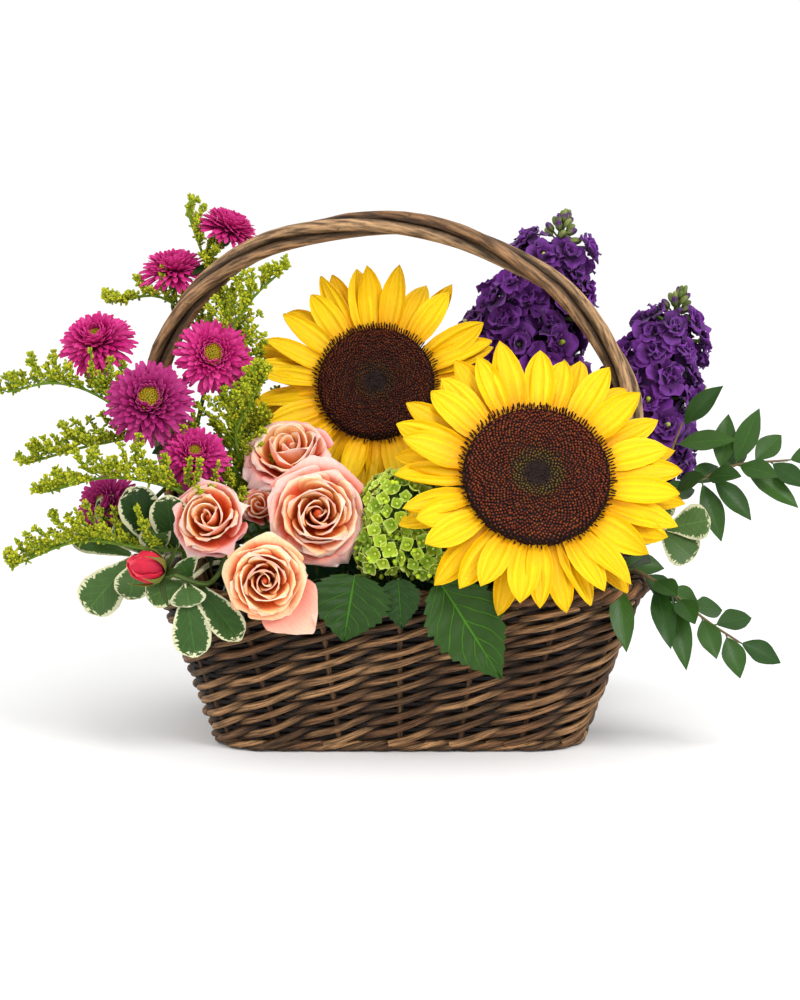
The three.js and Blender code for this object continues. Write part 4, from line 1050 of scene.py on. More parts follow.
@dataclass
class Handle:
    """The handle: three willow rods twisted together into an arch."""

    line: Sequence[tuple[float, float]] = (
        (-94, 12), (-107, 52), (-120, 94), (-135, 150), (-141, 200), (-137, 225), (-117, 257), (-80, 283),
        (-40, 294), (0, 296), (40, 288), (76, 270), (98, 254), (120, 227), (134, 195), (133, 150), (120, 94),
        (107, 52), (94, 12),
    )
    strands: int = 3
    radius: float = 3.6
    lay: float = 4.15
    turns: float = 2.6
    rings: int = 170
    knots: int = 7  # on each rod
    knot_height: float = 0.45
    lightness: Sequence[float] = (0.05, 0.45, 0.22)  # of each rod's bark

    def build(self) -> None:
        """Builds the three rods, with their knots, painted shade in the grooves between them and a painted
        lighter right half.
        """
        random = np.random.default_rng(11)
        middle = curve_through([(x, 0.0, z) for x, z in self.line], self.rings)
        along = directions_of(middle)
        side = np.array([0.0, 1.0, 0.0])
        out = np.cross(side, along)
        share = np.linspace(0, 1, self.rings)
        bunch = Bunch()
        for k in range(self.strands):
            phase = TURN * (share * self.turns + (k + 0.5) / self.strands)
            shift = out * np.cos(phase)[:, None] + side * np.sin(phase)[:, None]
            thick = self.radius * (1 + np.interp(share, np.linspace(0, 1, 30), random.normal(0, 0.04, 30)))
            for knot in random.uniform(0.08, 0.92, self.knots):
                thick = thick + self.knot_height * np.exp(-(((share - knot) * self.rings / 1.3) ** 2))
            # painted light: the right half of the arch is made lighter, as if lit from the right; each rod adds
            # its own lightness
            light = smooth(0.42, 0.85, share) * 0.4 + self.lightness[k]
            own = blend(BARK_BROWN, BARK_PALE, light)
            bunch.rod(middle + shift * self.lay, thick, own, 16, shift, shadow=0.8)
        bunch.build("handle_rods", PALE_WILLOW, "willow_handle", ["basket_handle"])


@dataclass
class Filling:
    """What holds the flowers inside the basket: a plastic tray, wet foam and a cover of moss."""

    moss_tufts: int = 1100
    strands: int = 4  # in a tuft
    strand_reach: float = 4.0
    strand_rise: float = 2.5
    curl: float = 2.2
    shoulder: float = 15.0  # how far in from the foam's edge the moss begins to slope down

    def dress(self, node: str, finish: Finish, tint: Colour, cuts: int, rough: float) -> None:
        """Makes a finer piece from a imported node: its copy, merged, subdivided and roughened.

        Args:
            node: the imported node.
            finish: the piece's finish.
            tint: its colour.
            cuts: how often it is subdivided.
            rough: how far its surface is roughened, in millimetres.
        """
        source = frame["nodes"][node]
        obj = source.copy()
        obj.data = source.data.copy()
        obj.parent = None
        obj.name = node + "_piece"
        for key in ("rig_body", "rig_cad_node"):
            if key in obj:
                del obj[key]
        bpy.context.scene.collection.objects.link(obj)
        only(obj)
        bpy.ops.object.mode_set(mode="EDIT")
        bpy.ops.mesh.select_all(action="SELECT")
        bpy.ops.mesh.remove_doubles(threshold=0.00001)
        bpy.ops.object.mode_set(mode="OBJECT")
        edges = obj.modifiers.new("edges", "BEVEL")
        edges.width = 0.6 * MM
        edges.segments = 2
        edges.limit_method = "ANGLE"
        bpy.ops.object.modifier_apply(modifier=edges.name)
        if cuts:
            finer = obj.modifiers.new("finer", "SUBSURF")
            finer.subdivision_type = "SIMPLE"
            finer.levels = finer.render_levels = cuts
            bpy.ops.object.modifier_apply(modifier=finer.name)
            grain = bpy.data.textures.new(node + "_grain", "CLOUDS")
            grain.noise_scale = 6 * MM
            push = obj.modifiers.new("push", "DISPLACE")
            push.texture = grain
            push.strength = rough * MM
            bpy.ops.object.modifier_apply(modifier=push.name)
        colours = obj.data.color_attributes.new(name=TINT, type="FLOAT_COLOR", domain="POINT")
        colours.data.foreach_set("color", np.tile([*tint, 1.0], len(obj.data.vertices)).astype(np.float32))
        obj.data.materials.clear()
        obj.data.materials.append(finish.build())
        bpy.ops.object.shade_smooth_by_angle(angle=math.radians(35))
        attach(obj, BODY)
        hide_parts(node)
        LOG.info("%s: %d faces", obj.name, len(obj.data.polygons))

    def moss(self) -> None:
        """Curled strands of moss over the top and the shoulders of the foam."""
        random = np.random.default_rng(17)
        low, high = (np.array(v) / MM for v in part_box("floral_foam"))
        bunch = Bunch()
        for _ in range(self.moss_tufts):
            x, y = random.uniform(low[0] - 2, high[0] + 2), random.uniform(low[1] - 2, high[1] + 2)
            inside = min(x - low[0], high[0] - x, y - low[1], high[1] - y)
            z = high[2] - 1.5 - max(0.0, self.shoulder - inside) * random.uniform(0.8, 1.3)
            tint = blend(shade(44, 66, 18), shade(116, 128, 48), random.uniform(0, 1))
            for _ in range(self.strands):
                heading = random.normal(0, 1, 3) + (0, 0, 0.7)
                bend = random.normal(0, self.curl, 3)
                middle = (x, y, z) + unit(heading) * self.strand_reach + bend
                end = (x + bend[0] * 2, y + bend[1] * 2, z + self.strand_rise)
                line = curve_through([(x, y, z), middle, end], 5)
                bunch.rod(line, np.linspace(0.55, 0.2, 5), tint, 4)
        bunch.build("moss_cover", MOSS, "foam")

    def build(self) -> None:
        """Builds the tray, the foam and the moss."""
        self.dress("liner", TRAY_PLASTIC, shade(24, 28, 22), 0, 0.0)
        self.dress("floral_foam", WET_FOAM, shade(46, 88, 50), 2, 0.8)
        self.moss()


# ---------------------------------------------------------------- sunflowers

SUN_YELLOW = shade(255, 204, 4)
SUN_GOLD = shade(242, 158, 0)
SUN_PAINTED_SHADE = shade(218, 156, 0)
LEAF_FRESH = shade(92, 122, 44)
LEAF_DEEP = shade(38, 66, 24)
LEAF_BACK = shade(112, 134, 84)
STEM_TINT = shade(96, 122, 52)
RAY_OUTLINE = (
    (0, 0.5), (0.15, 0.72), (0.36, 0.96), (0.56, 1), (0.72, 0.88), (0.85, 0.62), (0.94, 0.32), (1, 0.03),
)


@dataclass
class Sunflower:
    """One sunflower: rays in three layers, a domed seed head, and the green back with its stem."""

    name: str
    at: Point
    axis: Array
    radius: float
    disc: float
    cut: Point  # the cut end of its stem
    seed: int
    dark: float = 0.0  # how far the seed head is closed and dark
    rays: int = 42
    florets: int = 1900
    bracts: int = 26
    hairs: int = 160
    stem_radius: float = 5.0
    neck: tuple[float, float] = (19.0, 29.0)  # where the stem starts and where it bends, below the head
    random: np.random.Generator = field(init=False)

    def __post_init__(self) -> None:
        """Starts the flower's own random numbers."""
        self.random = np.random.default_rng(self.seed)

    def petals(self) -> None:
        """The rays, each furrowed, waved and turned in its own way."""
        random, bunch = self.random, Bunch()
        pattern = blade(12, 14)
        root = self.disc - 6
        for i in range(self.rays):
            layer = i % 3
            length = (self.radius - root) * (1.0, 0.97, 0.92)[layer] * random.uniform(0.93, 1.06)
            form = Form(
                length=length, width=random.uniform(14.5, 19.5) * self.radius / 83, outline=RAY_OUTLINE,
                thickness=0.55, start=(0.02, 0.16, 0.3)[layer] + random.normal(0, 0.06),
                bend=random.normal(-0.12, 0.32), late=random.uniform(1, 2.2),
                cup=random.uniform(-0.05, 0.32), twist=random.normal(0, 0.35),
                ruffle=random.uniform(0.3, 1.3), waves=random.uniform(0.7, 1.5),
                phase=random.uniform(0, TURN), groove=random.uniform(0.45, 0.85),
                furrows=random.choice([2, 3]),
            )
            points = form.bent(pattern) + (root, 0, -1.3 + layer * 0.5)
            points = spun(points, TURN * i / self.rays + random.normal(0, 0.05))
            base = 1 - smooth(0.05, 0.55, pattern.along + random.uniform(-0.1, 0.1))
            tint = blend(SUN_YELLOW, SUN_GOLD, base * 0.8)
            # painted shade: darker on each ray's underside and on the whole lowest layer
            tint = blend(tint, SUN_PAINTED_SHADE, 0.3 * (pattern.side < 0) + 0.14 * (layer == 0))
            bunch.add(pattern, turned(points, self.at, self.axis), tint * random.uniform(0.93, 1.05))
        bunch.build(f"{self.name}_rays", SUN_RAY, "sunflower_petal", [f"{self.name}_petals"])

    def seed_head(self) -> None:
        """The dome, set with florets in spirals: bristly at its edge, green round a dark middle."""
        random, bunch = self.random, Bunch()
        height = np.array([4.2, 7.2, 8.4, 8.8, 7.6, 6.8])
        share = np.array([1.02, 0.9, 0.66, 0.42, 0.18, 0.0])
        dome = bud(40, 20)
        r = dome.side * self.disc * 0.99
        z = np.where(dome.along > 0.5, np.interp(dome.side, share[::-1], height[::-1]) - 0.7, 0.4)
        points = np.stack([r * np.cos(dome.first), r * np.sin(dome.first), z], axis=1)
        bunch.add(dome, turned(points, self.at, self.axis), shade(30, 13, 8))
        one = bud(4, 4)
        rust, wine = shade(138, 60, 28), shade(92, 34, 20)
        green, night = shade(112, 104, 34), shade(28, 20, 12)
        for i in range(self.florets):
            part = math.sqrt((i + 0.5) / self.florets)
            angle = i * GOLDEN_ANGLE
            outer = float(smooth(0.9, 0.985, part))
            inner = float(1 - smooth(0.14, 0.24, part))
            ring = float(smooth(0.12, 0.2, part) * (1 - smooth(0.28, 0.4, part)))
            length = 2.0 + 1.7 * outer + random.uniform(-0.6, 0.9) - 0.8 * inner
            width = self.disc * 0.036 * (0.75 + 0.4 * part) * (1 - 0.4 * outer)
            lean = 0.1 * part + 0.85 * outer + random.normal(0, 0.24)
            shape = bud_points(one, width, length, 0.62)
            c, s = math.cos(lean), math.sin(lean)
            shape = shape @ np.array([[c, 0, -s], [0, 1, 0], [s, 0, c]])
            shape = shape + (part * self.disc, 0, np.interp(part, share[::-1], height[::-1]) - 1.2)
            tone = blend(rust, wine, random.uniform(0, 1) ** 0.8)
            tone = blend(tone, shade(150, 84, 30), 0.5 * float(random.uniform() < 0.14) * (1 - outer))
            tone = blend(tone, green, ring * random.uniform(0.35, 0.95) * (1 - self.dark))
            tone = blend(tone, night, inner * 0.9)
            tone = blend(tone, shade(30, 9, 8), outer * 0.85)
            tone = tone * (1 - 0.45 * self.dark)
            # painted shade at each floret's root between its neighbours, and painted light brightening its tip
            tips = blend(tone * 0.4, tone * 1.35, one.along)
            bunch.add(one, turned(spun(shape, angle), self.at, self.axis), tips)
        bunch.build(f"{self.name}_seed_head", SEED_FLORET, "sunflower_disc", [f"{self.name}_disc"])

    def back(self) -> None:
        """The green receptacle, its two rings of pointed bracts, and the hairy stem."""
        random, bunch = self.random, Bunch()
        top = -3.0
        fine = np.linspace(0, 5, 16)
        drop = np.interp(fine, range(6), [17, 15.5, 12, 6, 2, 0])
        radii = np.interp(fine, range(6), [5.5, 6, 11, self.disc * 0.62, self.disc - 6, self.disc - 7])
        line = np.stack([0 * drop, 0 * drop, top - drop], axis=1)
        pattern = tube(40, 16)
        cup = rod_points(pattern, line, radii, np.array([1.0, 0.0, 0.0]))
        bunch.add(pattern, turned(cup, self.at, self.axis), LEAF_FRESH)
        sepal = blade(4, 8)
        outline = ((0, 0.8), (0.3, 1), (0.6, 0.75), (0.85, 0.3), (1, 0.03))
        for i in range(self.bracts):
            outer = i % 2
            form = Form(
                length=random.uniform(19, 25), width=random.uniform(9, 12), outline=outline,
                thickness=0.7, start=-0.15 - 0.25 * outer, bend=random.normal(-0.3, 0.3), late=1.6,
                fold=0.18, twist=random.normal(0, 0.2),
            )
            shape = form.bent(sepal) + (self.disc - 16, 0, top - 3.2 - 2.0 * outer)
            shape = spun(shape, TURN * i / self.bracts + random.normal(0, 0.06))
            tint = blend(LEAF_FRESH, LEAF_DEEP, random.uniform(0, 0.7))
            bunch.add(sepal, turned(shape, self.at, self.axis), tint)
        stem = curve_through([*(down(self.at, self.axis, drop) for drop in self.neck), self.cut], 24)
        bunch.rod(stem, self.stem_radius * (1 + random.normal(0, 0.015, 24)), STEM_TINT, 12)
        hair = tube(3, 2)
        for _ in range(self.hairs):
            k = random.integers(0, 14)
            out = unit(np.cross(directions_of(stem)[k], random.normal(0, 1, 3)))
            start = blend(stem[k], stem[k + 1], random.uniform(0, 1)) + out * (self.stem_radius - 0.2)
            line = np.array([start, start + out * random.uniform(0.9, 1.6)])
            bunch.add(hair, rod_points(hair, line, np.array([0.12, 0.03])), shade(190, 200, 160))
        bunch.build(f"{self.name}_back", FRESH_STEM, "stem", [f"{self.name}_stem"])

    def build(self) -> None:
        """Builds the whole flower."""
        self.petals()
        self.seed_head()
        self.back()


SUNFLOWERS = (
    Sunflower("sunflower_front", (76, -86, 160), direction(4, 33), 83, 42, (50, -22, 80), 21),
    Sunflower("sunflower_back", (-14, 6, 201.5), direction(-3, 26), 75, 35, (-8, 26, 80), 23, dark=0.55),
)


# ---------------------------------------------------------------- spray roses

PEACH = shade(255, 208, 142)
PEACH_DEEP = shade(240, 112, 40)
CORAL = shade(232, 84, 84)
BLUSH = shade(252, 200, 198)
BLUSH_RIM = shade(255, 222, 214)


class Opening(Enum):
    """How far a rose is open."""

    POINTED = "pointed"  # a high middle, and outer petals turned back to points
    CUPPED = "cupped"  # round petals in a deep spiral
    RUFFLED = "ruffled"  # wide open, with waved outer petals


@dataclass
class Rose:
    """One open rose: petals in a spiral, from a tight middle to the outermost, which turn out."""

    name: str
    at: Point
    axis: Array
    radius: float
    opening: Opening
    seed: int
    petals: int = 30
    warmth: float = 0.0  # how far its outer petals keep the peach of the middle
    hanging: Sequence[float] = ()  # where a large outer petal hangs away, as angles round the axis
    depth: float = field(init=False)  # how far its underside lies behind its middle
    cup_size: float = field(init=False)

    def __post_init__(self) -> None:
        """Sets what its stalk is fitted to."""
        self.depth = self.cup_size = self.radius

    def petal(self, share: float, pattern: Pattern, random: np.random.Generator) -> tuple[Wrap, Array]:
        """One petal.

        Args:
            share: 0 for the innermost and 1 for the outermost.
            pattern: the blade that it is wrapped from.
            random: the rose's random numbers.

        Returns:
            How it is wrapped, and its colours.
        """
        R, H = self.radius, self.radius * 1.02
        pointed = self.opening is Opening.POINTED
        ruffle = R * (0.055 if self.opening is Opening.RUFFLED else 0.022) * float(smooth(0.4, 1, share))
        rim_r = R * (0.07 + 0.9 * share**0.95) * random.uniform(0.95, 1.03)
        lift = {Opening.POINTED: 0.1, Opening.CUPPED: -0.02, Opening.RUFFLED: -0.08}[self.opening]
        rim_z = H * (lift + 0.16 * math.sin(math.pi * min(1, share * 1.35)) - 0.5 * share**2.4)
        rim_z += H * random.normal(0, 0.022)
        root = (R * (0.04 + 0.14 * share), -H * (0.9 - 0.05 * share))
        belly = (rim_r * (0.95 - 0.1 * share), -H * (0.62 - 0.1 * share))
        if share < 0.55:
            neck = (rim_r * 1.06, rim_z - H * 0.2)
            rim = (rim_r * (0.86 + 0.2 * share), rim_z)
        else:
            out = (share - 0.55) / 0.45
            neck = (rim_r * (1 - 0.16 * out), rim_z + H * (0.1 + 0.2 * out))
            rim = (rim_r * (1.02 + 0.06 * out), rim_z - H * 0.16 * out)
        sweep = (2.9 - 1.0 * share) * (0.82 if pointed and share > 0.6 else 1)
        outline = ((0, 0.32), (0.3, 0.66), (0.62, 0.98), (0.8, 1.0), (0.93, 0.82), (1, 0.55))
        if pointed and share > 0.6:
            outline = ((0, 0.32), (0.3, 0.7), (0.6, 1.0), (0.78, 0.9), (0.92, 0.5), (1, 0.16))
        wrap = Wrap(
            root=root, belly=belly, neck=neck, rim=rim, width=max(rim_r, R * 0.1) * sweep,
            outline=outline, thickness=0.5, open=1.0 + 0.55 * float(smooth(0.5, 1, share)),
            spiral=R * 0.045, flare=R * (0.02 + 0.13 * share), crown=0.14 + 0.08 * share,
            ruffle=ruffle * random.uniform(0.5, 1.3), waves=random.uniform(2, 4.5),
            phase=random.uniform(0, TURN),
            pinch=R * (0.2 if pointed else 0.02) * float(smooth(0.55, 0.8, share)),
        )
        return wrap, self.tints(share, pattern, random)

    def tints(self, share: float, pattern: Pattern, random: np.random.Generator) -> Array:
        """A petal's colours: peach within, blush outside, coral towards the root and on the back."""
        outer = float(smooth(0.45, 0.9, share)) * (1 - self.warmth)
        face = blend(PEACH, BLUSH, outer)
        deep = blend(PEACH_DEEP, CORAL, outer * 0.6)
        back = blend(blend(PEACH_DEEP, PEACH, 0.5), CORAL, 0.15 + 0.6 * outer)
        height = np.clip(pattern.along + random.uniform(-0.05, 0.05), 0, 1)
        inside = blend(deep, face, smooth(0.4, 0.95, height))
        outside = blend(back, blend(back, BLUSH, 0.45), smooth(0.6, 1.0, height))
        tint = np.where((pattern.side > 0)[:, None], inside, outside)
        rim = smooth(0.9, 1.0, height + 0.06 * np.abs(pattern.first))
        tint = blend(tint, blend(BLUSH_RIM, PEACH, self.warmth * 0.5), rim * 0.65)
        freckle = smooth(0.965, 1.0, height) * (random.uniform() < 0.5)
        return blend(tint, shade(206, 110, 110), freckle * 0.45) * random.uniform(0.95, 1.03)

    def build(self) -> None:
        """Builds the bloom."""
        random, bunch = np.random.default_rng(self.seed), Bunch()
        pattern = blade(14, 12)
        core = bud(10, 8)
        R = self.radius
        heart = bud_points(core, R * 0.2, R * 0.9, 0.4) + (0, 0, -R * 0.92)
        # the heart, deep in the bloom's middle, is tinted darker: painted shade
        bunch.add(core, turned(heart, self.at, self.axis), blend(PEACH_DEEP, CORAL, 0.3) * 0.7)
        spin = random.uniform(0, TURN)
        for i in range(self.petals):
            share = (i + 0.4) / (self.petals - 0.6)
            angle = spin + i * (GOLDEN_ANGLE if share < 0.5 else TURN * 0.405)
            wrap, tint = self.petal(share, pattern, random)
            points = spun(wrap.bent(pattern), angle + random.normal(0, 0.08))
            points[:, :2] += points[:, 2:] * random.normal(0, 0.035, 2) * share
            bunch.add(pattern, turned(points, self.at, self.axis), tint)
        for angle in self.hanging:
            wrap = Wrap(
                root=(R * 0.2, -R * 0.9), belly=(R * 0.75, -R * 0.75), neck=(R * 1.15, -R * 0.42),
                rim=(R * 1.62, -R * 0.62), width=R * 1.5,
                outline=((0, 0.3), (0.3, 0.7), (0.6, 0.98), (0.78, 1), (0.9, 0.82), (0.97, 0.5), (1, 0.3)),
                open=2.2, crown=0.3, flare=R * 0.1, ruffle=R * 0.07, waves=1.4, phase=1.0,
            )
            tint = blend(self.tints(1.0, pattern, random), shade(238, 164, 160), 0.5)
            bunch.add(pattern, turned(spun(wrap.bent(pattern), angle), self.at, self.axis), tint)
        bunch.build(f"{self.name}_bloom", ROSE_PETAL, "rose_petal", [self.name])


@dataclass
class RoseBud:
    """The closed bud: six petals wound tightly round each other, and five sepals."""

    at: Point = (-131.0, -112.0, 112.0)
    axis: Point = (-0.85, -0.42, 0.3)
    radius: float = 9.5
    length: float = 21.0
    depth: float = 0.0  # it stands on its middle, which is in its cup
    cup_size: float = 19.0

    def build(self) -> None:
        """Builds the bud."""
        random, bunch = np.random.default_rng(36), Bunch()
        pattern, core = blade(10, 10), bud(12, 10)
        r, h = self.radius, self.length
        red, dark = shade(196, 26, 54), shade(110, 10, 28)
        heart = bud_points(core, r * 1.5, h * 0.97, 0.4)
        bunch.add(core, turned(heart, self.at, self.axis), red)
        for i in range(6):
            wrap = Wrap(
                root=(r * 0.2, 0), belly=(r * (1.0 + 0.02 * i), h * 0.12),
                neck=(r * (0.92 + 0.02 * i), h * 0.62),
                rim=(r * (0.08 + 0.04 * i), h * (1.04 - 0.035 * i)), width=r * 2.5,
                outline=((0, 0.4), (0.4, 1), (0.75, 0.9), (1, 0.35)), thickness=0.4, spiral=r * 0.1,
                flare=r * 0.06,
            )
            tint = blend(dark, red, smooth(0, 0.6, pattern.along))
            tint = blend(tint, shade(226, 90, 100), smooth(0.88, 1, pattern.along) * 0.6)
            points = spun(wrap.bent(pattern), i * GOLDEN_ANGLE)
            bunch.add(pattern, turned(points, self.at, self.axis), tint * random.uniform(0.9, 1.1))
        for i in range(5):
            wrap = Wrap(
                root=(r * 0.3, -1.0), belly=(r * 1.12, h * 0.1), neck=(r * 1.2, h * 0.4),
                rim=(r * random.uniform(0.95, 1.35), h * random.uniform(0.6, 0.8)), width=r * 0.62,
                outline=((0, 0.9), (0.3, 1), (0.7, 0.5), (1, 0.06)), thickness=0.4, flare=r * 0.02,
            )
            points = spun(wrap.bent(pattern), TURN * i / 5 + 0.5)
            green = blend(shade(86, 116, 40), shade(132, 92, 50), random.uniform(0, 0.5))
            bunch.add(pattern, turned(points, self.at, self.axis), green)
        bunch.build("rose_bud_bloom", ROSE_PETAL, "bud_petal", ["rose_bud"])


ROSES = (
    Rose("rose_1", (-63, -51, 177), direction(0, 50), 27.5, Opening.RUFFLED, 31, 20),
    Rose("rose_2", (-45, -99, 143), direction(6, 16), 31, Opening.RUFFLED, 32, 24, 0.15),
    Rose("rose_3", (-107, -93, 140), direction(-6, 24), 24, Opening.POINTED, 33, 17),
    Rose("rose_4", (-73.5, -132, 110), direction(3, 6), 25, Opening.CUPPED, 34, 22, 0.7, (0.75,)),
    Rose("rose_5", (-80, -63, 142), direction(-4, 30), 13, Opening.CUPPED, 35, 11),
)


# ---------------------------------------------------------------- asters, stocks and hydrangea

MAGENTA = shade(206, 14, 122)
MAGENTA_PALE = shade(238, 74, 160)
MAGENTA_DEEP = shade(122, 0, 66)
YOLK = shade(206, 168, 24)
OLIVE = shade(150, 140, 30)


@dataclass
class Aster:
    """One aster: many narrow rays in layers, upright and short towards its yellow eye."""

    name: str
    at: Point
    axis: Point
    radius: float
    seed: int
    full: bool = False
    dull: float = 0.0  # how far its colour is greyed towards purple
    layers: int = 9
    florets: int = 90  # in its eye
    depth: float = 6.4  # how far its underside lies behind its middle
    cup_size: float = field(init=False)
    eye_radius: float = field(init=False)

    def __post_init__(self) -> None:
        """Sets the size of its green cup and of its eye."""
        self.cup_size = self.radius
        self.eye_radius = self.radius * (0.3 if self.full else 0.24)

    def rays(self) -> None:
        """The rays."""
        random, bunch = np.random.default_rng(self.seed), Bunch()
        pattern = blade(3, 5)
        R = self.radius
        outline = ((0, 0.4), (0.4, 0.85), (0.78, 1), (0.93, 0.85), (1, 0.4))
        for layer in range(self.layers):
            share = layer / (self.layers - 1)  # 0 outermost
            rays = int(31 - 14 * share)
            reach = R * (1.02 - 0.52 * share)
            root = self.eye_radius * (0.85 + 0.2 * (1 - share))
            rise = -0.32 + 1.42 * share**1.1
            for i in range(rays):
                form = Form(
                    length=(reach - root * 0.8) * random.uniform(0.9, 1.06),
                    width=R * 0.155 * random.uniform(0.8, 1.1), outline=outline, thickness=0.3,
                    start=rise + 0.3 + random.normal(0, 0.06),
                    bend=-0.45 + 0.75 * share + random.normal(0, 0.14), cup=0.35,
                    twist=random.normal(0, 0.25),
                )
                points = form.bent(pattern) + (root, 0, -4.2 + 5.4 * share)
                points = spun(points, TURN * (i + 0.5 * (layer % 2)) / rays + random.normal(0, 0.05))
                tip = blend(MAGENTA, MAGENTA_PALE, random.uniform(0.1, 0.9))
                tint = blend(MAGENTA_DEEP, tip, smooth(0, 0.75, pattern.along))
                tint = np.where((pattern.side < 0)[:, None], blend(tint, MAGENTA_PALE, 0.3), tint)
                tint = blend(tint, shade(110, 40, 100), self.dull)
                bunch.add(pattern, turned(points, self.at, self.axis), tint)
        # a disc behind the rays, tinted near-black magenta: painted shade in the gaps between them
        floor = bud(16, 6)
        shape = bud_points(floor, R * 1.05, 7.0, 0.7) + (0, 0, -6.6)
        bunch.add(floor, turned(shape, self.at, self.axis), np.array(MAGENTA_DEEP) * 0.5)
        bunch.build(f"{self.name}_rays", ASTER_RAY, "aster_petal", [f"{self.name}_petals"])

    def eye(self) -> None:
        """The eye: a low dome of tiny florets, greener in its middle."""
        random, bunch = np.random.default_rng(self.seed + 100), Bunch()
        r = self.eye_radius
        one, dome = bud(5, 4), bud(14, 8)
        base = bud_points(dome, r * 2.0, 4.4, 0.6) + (0, 0, -0.8)
        bunch.add(dome, turned(base, self.at, self.axis), OLIVE)
        for i in range(self.florets):
            share = math.sqrt((i + 0.5) / self.florets)
            length = random.uniform(1.5, 2.2) + 0.5 * share
            shape = bud_points(one, r * 0.26, length, 0.65)
            shape = shape + (share * r, 0, 1.1 + 1.9 * math.cos(share * 1.45))
            tone = blend(OLIVE, YOLK, share * random.uniform(0.5, 1.2))
            # painted shade: each floret darker at its root, between its neighbours
            rows = blend(tone * 0.6, tone, one.along)
            bunch.add(one, turned(spun(shape, i * GOLDEN_ANGLE), self.at, self.axis), rows)
        bunch.build(f"{self.name}_eye", POLLEN, "aster_centre", [f"{self.name}_centre"])

    def build(self) -> None:
        """Builds the bloom."""
        self.rays()
        self.eye()


ASTERS = (
    Aster("aster_1", (-100, 26, 294), (0.42, -0.1, 0.9), 19, 50),
    Aster("aster_2", (-134, 22, 270), (-0.05, -0.25, 0.97), 20.5, 51),
    Aster("aster_3", (-176, -15, 231), (-0.1, -0.62, 0.78), 22.5, 52),
    Aster("aster_4", (-107, -36, 224), (0.12, -0.93, 0.33), 21.5, 53, True),
    Aster("aster_5", (-142, -54, 200), (0.04, -0.86, 0.5), 25, 54, True, 0.4),
    Aster("aster_6", (-116, -62, 170), (0.1, -0.8, 0.6), 19.5, 55, False, 0.1),
    Aster("aster_7", (-167, -66, 143), (-0.45, -0.8, 0.35), 19, 56, False, 0.35),
)

VIOLET = shade(110, 20, 138)
VIOLET_DEEP = shade(54, 8, 70)
VIOLET_PALE = shade(156, 84, 196)
LIME = shade(190, 214, 48)
CREAM_GREEN = shade(222, 230, 140)
# the spikes are a little broader from side to side than from front to back
SPIKE_SWELL = np.array([1.22, 0.95, 1.0])


